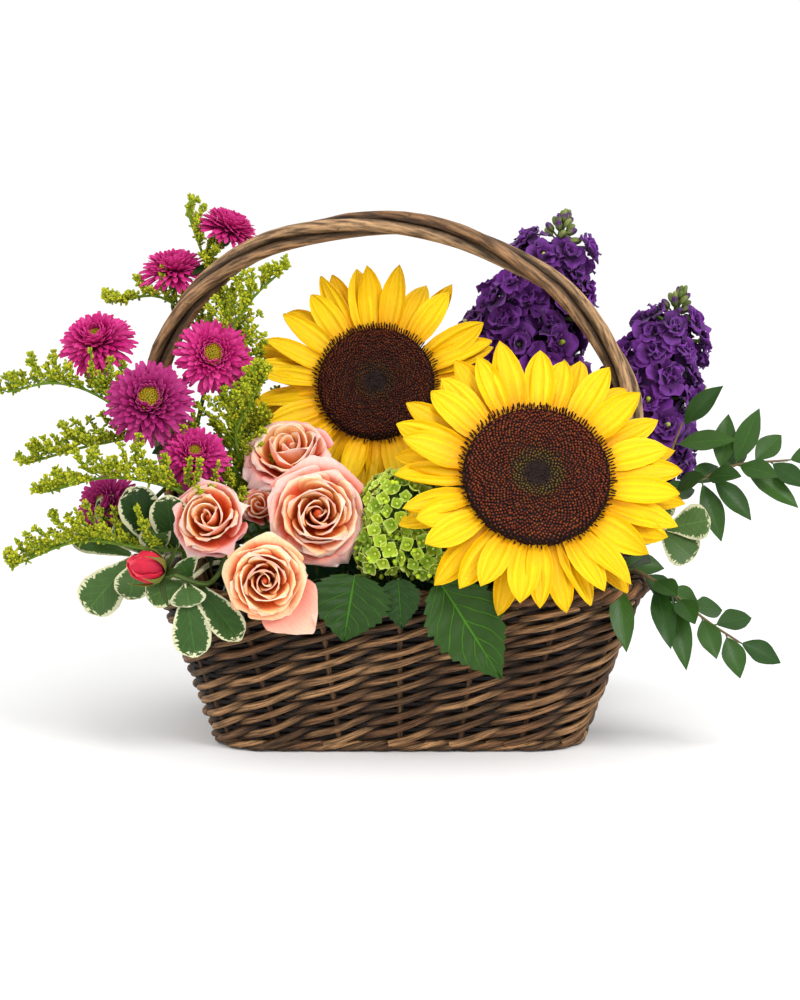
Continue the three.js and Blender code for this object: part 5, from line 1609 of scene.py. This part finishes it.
@dataclass
class Stock:
    """One stock: a spike of ruffled double florets, with green buds at its tip."""

    name: str
    base: Point
    tip: Point
    cut: Point  # the cut end of its stem
    florets: int
    size: float  # a floret's radius
    spread: float  # how far the lowest florets stand out
    seed: int
    run: float = 12.0  # how far the stem runs straight below the florets
    buds: int = 22

    def floret(self, bunch: Bunch, at: Array, axis: Array, size: float, random: np.random.Generator) -> None:
        """Adds one double floret.

        Args:
            bunch: where it goes.
            at: its middle.
            axis: the way that it faces.
            size: its radius.
            random: the spike's random numbers.
        """
        pattern = blade(5, 5)
        outline = ((0, 0.25), (0.35, 0.6), (0.7, 1), (0.9, 0.95), (1, 0.62))
        tone = blend(VIOLET, VIOLET_DEEP, random.uniform(0, 0.6))
        for layer, petals in enumerate((5, 4, 4, 3)):
            for i in range(petals):
                form = Form(
                    length=size * (1.0 - 0.17 * layer) * random.uniform(0.78, 1.15),
                    width=size * (1.0 - 0.12 * layer) * random.uniform(0.8, 1.15), outline=outline,
                    thickness=0.35, start=0.2 + 0.36 * layer + random.normal(0, 0.2),
                    bend=random.normal(-0.35 + 0.1 * layer, 0.45), cup=random.uniform(-0.1, 0.35),
                    twist=random.normal(0, 0.3), ruffle=size * 0.13, waves=random.uniform(1.5, 3.2),
                    phase=random.uniform(0, TURN), crown=0.1,
                )
                angle = TURN * (i + 0.5 * (layer % 2)) / petals + random.normal(0, 0.15)
                points = spun(form.bent(pattern) + (size * 0.06, 0, -size * 0.15), angle)
                # painted shade darkens each petal towards its root, deep in the floret; a painted highlight
                # pales its rim and ruffled edges
                rim = smooth(0.6, 1, pattern.along + 0.15 * np.abs(pattern.first))
                pale = blend(tone, VIOLET_PALE, random.uniform(0.1, 0.5))
                tint = blend(tone * 0.6, pale, rim)
                bunch.add(pattern, turned(points, at, axis), tint)
        if random.uniform() < 0.3:
            eye = bud(6, 5)
            shape = bud_points(eye, size * 0.22, size * 0.4, 0.6)
            bunch.add(eye, turned(shape, at, axis), blend(CREAM_GREEN, LIME, random.uniform(0, 1)))

    def flowers(self) -> None:
        """The florets, from the full lower ones up to the small ones below the buds."""
        random, bunch = np.random.default_rng(self.seed), Bunch()
        base, tip = np.array(self.base, float), np.array(self.tip, float)
        axis = tip - base
        along = unit(axis)
        core = tube(10, 6)
        line = base + axis * np.linspace(0.04, 0.86, 6)[:, None]
        width = np.interp(np.linspace(0, 1, 6), [0, 0.1, 1], [3.5, self.spread * 0.62, 6])
        # the core inside the spike is tinted near black: painted shade between the florets
        bunch.add(core, rod_points(core, line, width), np.array(VIOLET_DEEP) * 0.5)
        for i in range(self.florets):
            share = i / (self.florets - 1)
            angle = i * GOLDEN_ANGLE + random.normal(0, 0.1)
            radial = beside(along, angle)
            size = self.size * (0.82 - 0.28 * share)
            reach = self.spread * (1 - 0.48 * share**1.3) * random.uniform(0.64, 1.02)
            middle = base + axis * (0.05 + 0.83 * share)
            at = middle + radial * reach * SPIKE_SWELL
            bunch.rod(np.array([middle - along * 4, at]), 1.2, STEM_TINT, 5)
            out = unit(radial + along * (0.05 + 0.9 * share) + random.normal(0, 0.12, 3))
            self.floret(bunch, at, out, size, random)
        bunch.build(f"{self.name}_florets", VELVET_PETAL, "stock_petal", [f"{self.name}_flowers"], 70)

    def stem(self) -> None:
        """The stem down to its cut end, and the cluster of buds at the tip."""
        random, bunch = np.random.default_rng(self.seed + 1), Bunch()
        base, tip = np.array(self.base, float), np.array(self.tip, float)
        along = unit(tip - base)
        bunch.rod(curve_through([self.tip, self.base], 8), np.linspace(1.6, 2.3, 8), STEM_TINT, 10)
        bunch.rod(curve_through([base, base - along * self.run, self.cut], 20), 2.6, STEM_TINT, 10)
        one = bud(8, 7)
        purple = shade(116, 62, 140)
        for i in range(self.buds):
            share = i / (self.buds - 1)
            angle = i * GOLDEN_ANGLE
            side = beside(along, angle)
            lean = unit(side * (1.25 - 1.1 * share) + along * (0.5 + share))
            length = (12.0 - 5.0 * share) * random.uniform(0.85, 1.1)
            root = tip - along * (15 - 15.5 * share) + side
            stalk = root + lean * (5.5 - 4.5 * share)
            bunch.rod(np.array([root, stalk]), 0.6, STEM_TINT, 5)
            shape = bud_points(one, 4.4 - 1.6 * share, length * 0.72, 0.45, 4)
            tone = blend(LEAF_FRESH, CREAM_GREEN, random.uniform(0.1, 0.6))
            tip_tone = blend(tone, purple, float(random.uniform() < 0.75 - 0.5 * share))
            tint = blend(tone, tip_tone, smooth(0.45, 0.8, one.along))
            bunch.add(one, turned(shape, stalk - lean * 0.5, lean), tint)
        bunch.build(f"{self.name}_stalk", FRESH_STEM, "stem", [f"{self.name}_stem"])

    def build(self) -> None:
        """Builds the spike."""
        self.flowers()
        self.stem()


STOCKS = (
    Stock("stock_1", (66, 45, 186), (99, 52, 297), (44, 30, 82), 48, 21.5, 34, 61),
    Stock("stock_2", (137, 36, 152), (168, 40, 252), (68, 26, 84), 40, 20, 30, 62),
)


@dataclass
class Hydrangea:
    """The green hydrangea: lumps of small cupped florets over a branching stem, and three toothed leaves."""

    lumps: Sequence[tuple[Point, float, int]] = (
        ((3, -75, 139), 20.0, 130), ((15, -91, 120), 12.0, 52), ((-9, -86, 120), 11.0, 48),
    )
    fork: Point = (1.8, -65.5, 107.2)  # where the leaf stalks leave the stem
    leaves: Sequence[tuple[Point, Point, Point, float]] = (  # a stalk's bend, its leaf's root, tip and width
        ((-15.2, -91.4, 106.3), (-25, -105, 108), (-31, -114, 73), 46.0),
        ((15.2, -93, 103.4), (22, -108, 105), (56, -115, 52), 43.0),
        ((0.4, -91.8, 104.6), (-1, -106, 106), (1, -114, 80), 24.0),
    )

    def florets(self) -> None:
        """The florets with their round buds between them."""
        random, bunch = np.random.default_rng(71), Bunch()
        sepal, bead, core = blade(4, 4), bud(7, 5), bud(18, 12)
        outline = ((0, 0.3), (0.4, 0.8), (0.75, 1), (0.92, 0.8), (1, 0.45))
        for middle, radius, count in self.lumps:
            shape = bud_points(core, radius * 1.75, radius * 1.75, 0.5) - (0, 0, radius * 0.87)
            bunch.add(core, shape + middle, shade(60, 92, 20))
            for i in range(count):
                z = 1 - (i + 0.5) / count * 1.75
                across = math.sqrt(max(0.0, 1 - z * z))
                angle = i * GOLDEN_ANGLE
                out = np.array([math.cos(angle) * across, math.sin(angle) * across, z])
                if out[1] > 0.55 and z < 0.2:
                    continue
                face = unit(out + random.normal(0, 0.16, 3))
                at = np.array(middle) + out * (radius + random.uniform(1.0, 4.5))
                bunch.rod(np.array([at - out * 7, at]), 0.5, LEAF_FRESH, 4)
                size = random.uniform(4.4, 6.2)
                tone = blend(shade(120, 158, 24), LIME, random.uniform(0, 1))
                edge = blend(tone, CREAM_GREEN, random.uniform(0.2, 0.75))
                open_angle = random.uniform(0.1, 0.5)
                for k in range(4):
                    form = Form(
                        length=size, width=size * 0.92, outline=outline, thickness=0.3, start=open_angle,
                        bend=random.uniform(0.2, 0.9), cup=0.35, ruffle=0.25,
                        phase=random.uniform(0, TURN), crown=0.1,
                    )
                    points = spun(form.bent(sepal) + (0.3, 0, 0), TURN * k / 4 + i)
                    rim = smooth(0.72, 1, sepal.along + 0.25 * np.abs(sepal.first))
                    # painted shade: each sepal darker towards its root, in the floret's middle; its cream rim
                    # is its own colour
                    tint = blend(tone * 0.75, edge, rim)
                    bunch.add(sepal, turned(points, at, face), tint)
                bunch.add(bead, turned(bud_points(bead, 2.0, 2.0), at, face), blend(tone, CREAM_GREEN, 0.3))
            for _ in range(count // 2):
                out = unit(random.normal(0, 1, 3) - (0, 0.6, 0.5))
                at = np.array(middle) + out * (radius + random.uniform(2, 5))
                bunch.rod(np.array([at - out * 8, at]), 0.4, LEAF_FRESH, 4)
                green = blend(LIME, LEAF_FRESH, random.uniform(0, 0.6))
                bunch.add(bead, turned(bud_points(bead, 2.9, 3.1), at, out), green)
        bunch.build("hydrangea_head", LIME_FLORET, "hydrangea_floret", ["hydrangea_florets"], 70)

    def stem(self) -> None:
        """The stem, its side stalks, and the leaves at their ends."""
        bunch = Bunch()
        main = curve_through([(3, -75, 121.6), (2, -72, 113), (2, -38, 88)], 14)
        bunch.rod(main, 2.4, STEM_TINT, 10)
        for i, (bend, root, tip, width) in enumerate(self.leaves):
            bunch.rod(curve_through([self.fork, bend, root], 10), 1.0, STEM_TINT, 7)
            shades = (shade(60, 108, 18), shade(40, 82, 14))
            form = {"teeth": 11, "cup": 0.1, "bend": 0.35, "grid": (16, 44)}
            leaf_on(bunch, root, tip, width, (0, -1, 0.3), i + 1, TOOTHED, shades, **form)
        bunch.build("hydrangea_stalk", TOOTHED_LEAF, "leaf", ["hydrangea_stem"], 70)

    def build(self) -> None:
        """Builds the head and its leaves."""
        self.florets()
        self.stem()


# ---------------------------------------------------------------- stems, leaves and fillers

OVAL = ((0, 0.14), (0.12, 0.52), (0.3, 0.88), (0.48, 1), (0.68, 0.9), (0.86, 0.55), (0.96, 0.22), (1, 0.02))
LANCE = ((0, 0.12), (0.14, 0.55), (0.32, 0.92), (0.46, 1), (0.64, 0.85), (0.82, 0.5), (0.94, 0.18), (1, 0.02))
TOOTHED = ((0, 0.3), (0.08, 0.62), (0.28, 1), (0.5, 0.95), (0.72, 0.62), (0.88, 0.3), (1, 0.02))
LEAF_INSET = 0.004  # how far inside the end of its stem the last leaf is rooted, as a share of the stem
SPOON = ((0, 0.16), (0.2, 0.42), (0.45, 0.8), (0.66, 1), (0.84, 0.9), (0.95, 0.55), (1, 0.12))


def leaf_on(
    bunch: Bunch,
    root: Point,
    tip: Point,
    width: float,
    face: Point,
    seed: int,
    outline: Outline,
    tint: tuple[Colour, Colour],
    teeth: int = 0,
    cup: float = 0.12,
    bend: float = 0.25,
    grid: tuple[int, int] = (6, 10),
) -> None:
    """Adds one leaf between two points.

    Args:
        bunch: where it goes.
        root: where it leaves its twig.
        tip: where it ends.
        width: its full width.
        face: the way that its upper side faces.
        seed: starts its own small differences.
        outline: the share of its width along it.
        tint: the colours of its upper side, between which it lies.
        teeth: the saw teeth along each edge.
        cup: how far its edges are lifted.
        bend: how far it arches.
        grid: the faces across and along it.
    """
    random = np.random.default_rng(900 + seed)
    pattern = blade(*grid)
    span = np.asarray(tip, float) - np.asarray(root, float)
    length = float(np.linalg.norm(span))
    arch = bend * random.uniform(0.5, 1.5)
    form = Form(
        length=length * (1 + arch * arch / 20), width=width, outline=outline, thickness=0.42,
        start=arch / 2, bend=-arch, cup=cup, fold=0.1, twist=random.normal(0, 0.12), ruffle=width * 0.022,
        waves=random.uniform(1.2, 2.4), phase=random.uniform(0, TURN), teeth=teeth,
        bite=0.2 if teeth else 0.0,
    )
    points = form.bent(pattern)
    if teeth:  # the surface between the side veins is raised
        veins, lift, edge = 6, 1.3, np.abs(pattern.first)
        raised = np.abs(np.sin((pattern.along - edge * 0.15) * math.pi * veins))
        points[:, 2] += raised * np.sin(edge * math.pi) * lift
    along = unit(span)
    side = unit(np.cross(face, along))
    basis = np.stack([along, side, np.cross(along, side)])
    upper = blend(*tint, random.uniform(0, 1))
    colours = np.where((pattern.side > 0)[:, None], upper, blend(upper, LEAF_BACK, 0.45))
    bunch.add(pattern, points @ basis + np.asarray(root, float), colours)


@dataclass(frozen=True)
class Stalk:
    """The stalk of one bloom: straight below it for a way, then bent to the stem that carries it."""

    bloom: Rose | RoseBud | Aster
    run: float  # how far it runs straight down
    radius: float
    bow: Point = (0.0, 0.0, 0.0)  # how far its bend is moved aside, clear of what stands there
    cup: float = 6.4  # from the bloom's underside, through its green cup, to where the stalk starts

    def way(self, end: Point) -> list[Array]:
        """The stalk's route, from the green cup under its bloom to where it ends."""
        start = self.bloom.depth + self.cup
        bend = down(self.bloom.at, self.bloom.axis, start + self.run) + self.bow
        return [down(self.bloom.at, self.bloom.axis, start), bend, np.asarray(end, float)]


@dataclass
class Branch:
    """A branched stem, with the green cups of the blooms that it carries."""

    name: str
    nodes: Sequence[str]
    stalks: Sequence[Stalk]
    leads: int  # which of the stalks runs on as the main stem
    fork: Point  # where the others meet it
    cut: Point  # its cut end
    sepals: bool
    seed: int

    def cup(self, bunch: Bunch, at: Point, axis: object, size: float, random: np.random.Generator) -> None:
        """Adds the green cup below a bloom: rose sepals that hang and curl, or an aster's small bracts.

        Args:
            bunch: where it goes.
            at: the underside of the bloom.
            axis: the way that the bloom faces.
            size: the bloom's radius.
            random: the stem's random numbers.
        """
        core = bud(10, 8)
        width = 7.5 if self.sepals else 8.5
        shape = bud_points(core, width, 8.0, 0.6) - (0, 0, 7.4)
        bunch.add(core, turned(shape, at, axis), LEAF_FRESH)
        pattern = blade(4, 7)
        outline = ((0, 0.7), (0.25, 1), (0.6, 0.55), (1, 0.04))
        count = 5 if self.sepals else 18
        for i in range(count):
            form = Form(
                length=size * (0.95 if self.sepals else 0.55) * random.uniform(0.85, 1.1),
                width=size * 0.3 if self.sepals else 2.6, outline=outline, thickness=0.45,
                start=random.uniform(-0.3, 0.5) if self.sepals else random.uniform(0.1, 0.6),
                bend=random.uniform(-1.0, 0.6), late=1.3, fold=0.25, twist=random.normal(0, 0.3),
            )
            points = spun(form.bent(pattern) + (2.2, 0, -1.6), TURN * i / count + random.normal(0, 0.1))
            bunch.add(pattern, turned(points, at, axis), blend(LEAF_FRESH, LEAF_DEEP, random.uniform(0, 0.8)))

    def build(self) -> None:
        """Builds the stems, the cups and a few small leaves."""
        random, bunch = np.random.default_rng(self.seed), Bunch()
        lead = self.stalks[self.leads]
        main = curve_through(lead.way(self.cut), 26)
        bunch.rod(main, np.linspace(lead.radius, lead.radius * 1.08, 26), STEM_TINT, 9)
        for stalk in self.stalks:
            if stalk is not lead:
                bunch.rod(curve_through(stalk.way(self.fork), 16), stalk.radius, STEM_TINT, 8)
        for stalk in self.stalks:
            bloom = stalk.bloom
            self.cup(bunch, down(bloom.at, bloom.axis, bloom.depth), bloom.axis, bloom.cup_size, random)
        if not self.sepals:
            for k in range(3, 19, 2):
                out = unit(random.normal(0, 1, 3) + (0, -0.4, 0.5))
                tip = main[k] + out * random.uniform(13, 21)
                shades = (shade(84, 122, 32), shade(54, 90, 20))
                leaf_on(bunch, main[k], tip, 5.6, (0, -0.6, 0.6), k, OVAL, shades, grid=(4, 7))
        bunch.build(self.name, FRESH_STEM, "stem", self.nodes)


ROSE_BUD = RoseBud()
BRANCHES = (
    Branch(
        "rose_stalk_1", ["rose_stem_1"],
        (Stalk(ROSES[0], 14, 2.2), Stalk(ROSES[1], 16, 1.76), Stalk(ROSES[4], 11.2, 1.76)), 0,
        (-61.9, -19.2, 129), (-56, -24, 82), True, 81,
    ),
    Branch(
        "rose_stalk_2", ["rose_stem_2"],
        (Stalk(ROSES[2], 14, 2.2), Stalk(ROSES[3], 20.3, 1.76), Stalk(ROSE_BUD, 24, 1.5, cup=5.8)), 0,
        (-96.6, -47.8, 115.9), (-64, -34, 88), True, 82,
    ),
    Branch(
        "aster_stalk_1", ["aster_stem_1"], (Stalk(ASTERS[0], 14, 1.5), Stalk(ASTERS[1], 20, 1.2)), 0,
        (-98.3, 27.4, 212), (-56, 22, 82), False, 83,
    ),
    Branch(
        "aster_stalk_2",
        ["aster_stem_2"],
        (
            Stalk(ASTERS[2], 29, 1.28, (0, -4, 0)), Stalk(ASTERS[3], 22.6, 1.28),
            Stalk(ASTERS[4], 14, 1.6), Stalk(ASTERS[5], 11.2, 1.28), Stalk(ASTERS[6], 19, 1.28),
        ),
        2,
        (-123.3, -20.9, 157.2),
        (-66, -8, 82),
        False,
        84,
    ),
)

GOLD_TIP = shade(210, 204, 40)
GOLD_GREEN = shade(104, 134, 24)


@dataclass
class Goldenrod:
    """One frond of goldenrod: an arching stem whose outer part carries twigs set with tiny buds."""

    name: str
    way: Sequence[Point]
    seed: int
    twigs: int = 46
    leafy: float = 0.72  # the share of the stem that carries twigs
    rings: int = 40

    def build(self) -> None:
        """Builds the frond."""
        random, bunch = np.random.default_rng(self.seed), Bunch()
        count = self.rings
        line = curve_through(self.way, count)
        along = directions_of(line)
        share = np.linspace(0, 1, count)
        bunch.rod(line, 0.7 + 0.6 * share, blend(GOLD_GREEN, STEM_TINT, share), 6)
        one = bud(4, 4)
        for i in range(self.twigs):
            t = 0.015 + self.leafy * (i / self.twigs) ** 1.15
            k = min(count - 1, int(t * count))
            back = -along[k]
            across = unit(np.cross(UP, back))
            angle = random.choice([-1, 1]) * random.uniform(0.1, 1.5) + math.pi * 0.5
            side = across * math.cos(angle) + np.cross(back, across) * math.sin(angle)
            reach = (6.0 + 18.0 * min(1.0, t * 3.6)) * random.uniform(0.75, 1.15)
            root = line[k]
            middle = root + back * reach * 0.45 + side * reach * 0.38
            tip = middle + back * reach * 0.25 + side * reach * 0.42 + (0, 0, random.uniform(-1, 3))
            twig = curve_through([root, middle, tip], 8)
            bunch.rod(twig, np.linspace(0.42, 0.2, 8), GOLD_GREEN, 4)
            headings = directions_of(twig)
            for _ in range(int(18 + reach * 1.8)):
                at = random.uniform(0.12, 1.0)
                m = min(7, int(at * 8))
                spot = blend(twig[m], twig[min(7, m + 1)], at * 8 % 1)
                out = unit(headings[m] * 1.1 + random.normal(0, 0.75, 3) + (0, 0, 0.3))
                length = random.uniform(2.3, 3.7)
                shape = bud_points(one, random.uniform(1.2, 1.75), length, 0.6)
                tone = blend(GOLD_TIP, GOLD_GREEN, random.uniform(0, 0.85))
                rows = blend(GOLD_GREEN, tone, one.along * 1.3)
                bunch.add(one, turned(shape, spot + out * 0.7, out), rows)
        for k in range(int(count * 0.5), int(count * 0.85), 3):
            out = unit(-along[k] * 0.9 + random.normal(0, 0.6, 3))
            tip = line[k] + out * random.uniform(12, 20)
            shades = (shade(86, 124, 28), shade(60, 100, 20))
            leaf_on(bunch, line[k], tip, 3.4, (0, -0.5, 0.8), k, OVAL, shades, grid=(3, 6))
        bunch.build(f"{self.name}_frond", GOLD_BUD, "goldenrod", [self.name], 70)


GOLDENRODS = tuple(
    Goldenrod(f"goldenrod_{i + 1}", way, 301 + i)
    for i, way in enumerate(
        (
            ((-228, -15, 200), (-197, -24, 206), (-165, -29, 194), (-110, -28, 150), (-70, -14, 84)),
            ((-213, -40, 162), (-172, -40, 173), (-137, -40, 175), (-96, -34, 146), (-66, -22, 84)),
            ((-197, -84, 152), (-162, -84, 160), (-126, -76, 152), (-92, -50, 128), (-62, -42, 84)),
            ((-215, -84, 111), (-179, -84, 124), (-143, -80, 119), (-108, -62, 112), (-72.2, -33.8, 90)),
            ((-68, -26, 271), (-87, -24, 252), (-98, -24, 226), (-84, -14, 160), (-36, -6, 82)),
            ((-125, 25, 302), (-121, 26, 289), (-108, 26, 252), (-80, 28, 164), (-46, 30, 82)),
            ((-168, 12, 250), (-140, 16, 252), (-116, 20, 226), (-90, 20, 150), (-66, 12, 82)),
            ((-77, -46, 212), (-86, -46, 196), (-94, -40, 172), (-78, -24, 130), (-50, -10, 82)),
        )
    )
)


@dataclass
class Myrtle:
    """One myrtle sprig: a thin woody stem with glossy oval leaves on alternate sides."""

    name: str
    way: Sequence[Point]
    tips: Sequence[Point]  # of the leaves on its outer part, from the end inwards
    seed: int
    twig: Sequence[Point]  # a side twig
    more: Sequence[tuple[Point, Point]]  # roots and tips of more leaves, on the twig and the stem
    width: float = 14.0
    leafy: float = 0.56  # the share of the stem that the first leaves take up
    stalk: float = 0.12  # the share of a leaf that is its stalk

    def build(self) -> None:
        """Builds the sprig."""
        bunch = Bunch()
        line = curve_through(self.way, 34)
        wood, green = shade(150, 122, 84), shade(96, 112, 52)
        shades = (shade(38, 84, 16), shade(70, 116, 34))
        bunch.rod(line, np.linspace(0.7, 1.15, 34), wood, 7)
        bunch.rod(curve_through(self.twig, 10), np.linspace(0.9, 0.6, 10), wood, 6)
        gap = self.leafy / len(self.tips)
        leaves = [(at_share(line, LEAF_INSET + gap * i), tip) for i, tip in enumerate(self.tips)]
        for i, (root, tip) in enumerate((*leaves, *self.more)):
            span = np.subtract(tip, root)
            start, end = root + span * self.stalk, root + span * (1 + self.stalk)
            bunch.rod(np.array([root, start]), 0.5, green, 5)
            leaf_on(bunch, start, end, self.width, (0, -0.8, 0.6), self.seed + i, LANCE, shades, grid=(8, 12))
        bunch.build(f"{self.name}_sprig", GLOSSY_LEAF, "leaf", [self.name])


MYRTLES = (
    Myrtle(
        "myrtle_1",
        ((224, -30, 162), (193, -30, 159), (168, -30, 148), (140, -28, 138), (100, -18, 122), (60, -6, 84)),
        (
            (247, -29, 166), (231, -40, 149), (220, -17, 173), (214, -44, 155), (200, -14, 167),
            (193, -47, 155), (184, -13, 155), (173, -47, 154), (170, -15, 142), (152, -44, 152),
            (154, -18, 130),
        ),
        400,
        ((150, -29, 142), (156, -22, 162), (164, -18, 182)),
        (
            ((163, -18, 180), (184, -24, 202)), ((159, -20, 170), (190, -32, 174)),
            ((193, -30, 158), (206, -26, 188)), ((185, -30, 155), (190, -20, 184)),
            ((180, -30, 153), (200, -38, 131)), ((174, -30, 151), (184, -40, 120)),
            ((197, -30, 159), (226, -38, 138)),
        ),
    ),
    Myrtle(
        "myrtle_2",
        ((190, -92, 68), (172, -92, 80), (149, -90, 98), (131, -78, 107), (98, -52, 114), (66, -26, 90)),
        (
            (211, -91, 57), (189, -101, 52), (196, -80, 79), (175, -106, 64), (180, -77, 83),
            (162, -112, 84), (167, -78, 86), (152, -107, 98), (154, -78, 90), (138, -98, 114),
            (147, -69, 106),
        ),
        420,
        ((131, -78, 107), (126, -84, 107), (121, -90, 103)),
        (
            ((121, -90, 103), (125, -108, 70)), ((143, -86, 101), (149, -110, 72)),
            ((152, -90, 95), (158, -108, 60)),
        ),
    ),
)


@dataclass
class Pittosporum:
    """One pittosporum sprig: spoon-shaped leaves with a ragged cream margin, round a short stem."""

    name: str
    way: Sequence[Point]
    leaves: Sequence[tuple[float, Point, float]]  # a leaf's place along the stem, its tip and its width
    seed: int
    dark: Sequence[tuple[Point, Point, float]] = ()  # roots, tips and widths of more leaves, tinted dark as painted shade deep in the arrangement
    broad: float = 1.22  # how much wider than that a leaf is
    stalk: float = 0.06  # the share of a leaf that is its stalk

    def build(self) -> None:
        """Builds the sprig."""
        bunch = Bunch()
        line = curve_through(self.way, 20)
        bunch.rod(line, 1.5, shade(118, 120, 84), 8)
        face = (0, -0.9, 0.5) if self.way[0][1] < 0 else (0, 0.9, 0.5)
        # the leaves after self.leaves take the dark tints: painted shade deep in the arrangement
        young, shaded = (shade(50, 94, 26), shade(98, 134, 66)), (shade(30, 62, 18), shade(46, 82, 24))
        leaves = [(at_share(line, LEAF_INSET + share), tip, width) for share, tip, width in self.leaves]
        for i, (root, tip, width) in enumerate((*leaves, *self.dark)):
            start = root + np.subtract(tip, root) * self.stalk
            shades, size = young if i < len(self.leaves) else shaded, width * self.broad
            bunch.rod(np.array([root, start]), 0.7, LEAF_FRESH, 5)
            leaf_on(bunch, start, tip, size, face, self.seed + i, SPOON, shades, cup=0.05, grid=(10, 14))
        bunch.build(f"{self.name}_sprig", EDGED_LEAF, "variegated_leaf", [self.name])


PITTOSPORUMS = (
    Pittosporum(
        "pittosporum_1",
        ((-119, -107, 104), (-114, -92, 106), (-102, -64, 108), (-70, -40, 92)),
        (
            (0, (-113, -114, 64), 19), (0.02, (-116, -113, 92), 17), (0.1, (-88, -117, 74), 16),
            (0.05, (-140, -108, 96), 16), (0.1, (-122, -104, 116), 16),
        ),
        500,
    ),
    Pittosporum(
        "pittosporum_2",
        ((-150, -76, 114), (-132, -70, 113), (-104, -54, 112), (-72.2, -23.8, 92)),
        (
            (0, (-176, -86, 84), 22), (0.04, (-152, -92, 92), 17), (0.08, (-160, -78, 134), 15),
            (0.16, (-140, -80, 133), 16), (0, (-186, -66, 124), 14),
        ),
        510,
        (
            ((-134, -70, 113), (-152, -82, 154), 20), ((-128, -69, 113), (-130, -84, 150), 19),
            ((-140, -72, 113), (-170, -70, 146), 17), ((-118, -66, 113), (-112, -66, 152), 18),
            ((-112, -64, 113), (-96, -58, 150), 17),
        ),
    ),
    Pittosporum(
        "pittosporum_3",
        ((152, -44, 124), (132, -40, 120), (100, -30, 114), (68, -18, 90)),
        (
            (0, (178, -47, 130), 18), (0.03, (168, -52, 108), 19), (0.1, (152, -50, 146), 16),
            (0.16, (134, -60, 118), 16),
        ),
        520,
    ),
    Pittosporum(
        "pittosporum_4",
        ((-60, 104, 107), (-52, 82, 114), (-34, 38, 90)),
        (
            (0, (-98, 114, 92), 24), (0.02, (-54, 118, 68), 24), (0.12, (-20, 110, 100), 22),
            (0.2, (-80, 98, 142), 23), (0.307, (-30, 92, 144), 22), (0.405, (-94, 66, 132), 22),
        ),
        530,
    ),
    Pittosporum(
        "pittosporum_5",
        ((62, 104, 108), (52, 80, 115), (30, 38, 90)),
        (
            (0, (100, 113, 90), 24), (0.02, (54, 118, 68), 24), (0.12, (20, 108, 104), 22),
            (0.2, (84, 94, 138), 23), (0.305, (18, 88, 142), 22), (0.404, (100, 62, 128), 22),
        ),
        540,
    ),
)


# ---------------------------------------------------------------- the studio


@dataclass
class Studio:
    """A white sweep, soft light and the camera at the picture's angle."""

    distance: float = 1.6
    elevation: float = 9.0
    target: Point = (0.0, 0.0, 0.134)
    lens: float = 97.6
    sensor: float = 36.0
    glow: float = 1.12  # of the white surround
    floor_size: float = 60.0

    def light(self, name: str, at: Point, size: float, power: float) -> None:
        """Adds a soft light that shines at the arrangement.

        Args:
            name: the light's name.
            at: where it hangs, in metres.
            size: its width in metres.
            power: its power in watts.
        """
        bpy.ops.object.light_add(type="AREA", location=at)
        lamp = bpy.context.object
        lamp.name = name
        lamp.data.shape = "DISK"
        lamp.data.size = size
        lamp.data.energy = power
        lamp.visible_camera = False
        aim = Vector(self.target) - Vector(at)
        lamp.rotation_euler = aim.to_track_quat("-Z", "Y").to_euler()

    def camera(self) -> None:
        """Adds the camera."""
        e = math.radians(self.elevation)
        at = Vector(self.target) + Vector((0.0, -math.cos(e), math.sin(e))) * self.distance
        bpy.ops.object.camera_add(location=at)
        camera = bpy.context.object
        camera.rotation_euler = (math.radians(90 - self.elevation), 0.0, 0.0)
        camera.data.sensor_width = self.sensor
        camera.data.lens = self.lens
        bpy.context.scene.camera = camera

    def floor(self) -> None:
        """Adds the white floor that the basket stands on."""
        bpy.ops.object.select_all(action="DESELECT")
        bpy.ops.mesh.primitive_plane_add(size=self.floor_size)
        floor = bpy.context.object
        floor.name = "studio_floor"
        material = bpy.data.materials.new("studio_white")
        material.use_nodes = True
        g = Graph(material)
        place = g.tree.nodes.new("ShaderNodeTexCoord")
        cloud = g.noise(place.outputs["Object"], 2.0)
        g.link(g.mix(cloud, (0.9, 0.9, 0.9, 1.0), (0.94, 0.94, 0.94, 1.0)), g.shader.inputs["Base Color"])
        g.shader.inputs["Roughness"].default_value = 0.9
        g.shader.inputs["Specular IOR Level"].default_value = 0.1
        floor.data.materials.append(material)

    def build(self) -> None:
        """Builds the world, the lights, the floor and the camera."""
        world = bpy.data.worlds.new("studio_world")
        world.use_nodes = True
        background = world.node_tree.nodes["Background"]
        background.inputs[0].default_value = (1.0, 1.0, 1.0, 1.0)
        background.inputs[1].default_value = self.glow
        bpy.context.scene.world = world
        bpy.context.scene.view_settings.view_transform = "Standard"
        bpy.context.scene.view_settings.look = "None"
        self.light("key_light", (1.1, -1.5, 1.7), 0.9, 30.0)
        self.light("fill_light", (-1.6, -1.3, 0.9), 1.4, 9.0)
        self.floor()
        self.camera()


def main() -> None:
    """Builds the studio and every piece of the arrangement."""
    logging.basicConfig(level=logging.INFO, format="%(name)s: %(message)s")
    Studio().build()
    basket = Basket()
    basket.wall()
    basket.borders()
    basket.floor()
    Handle().build()
    Filling().build()
    hydrangea = Hydrangea()
    pieces = (*SUNFLOWERS, *ROSES, ROSE_BUD, *ASTERS, *STOCKS, hydrangea, *BRANCHES, *GOLDENRODS, *MYRTLES)
    for piece in (*pieces, *PITTOSPORUMS):
        piece.build()
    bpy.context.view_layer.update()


if __name__ == "__main__":
    main()
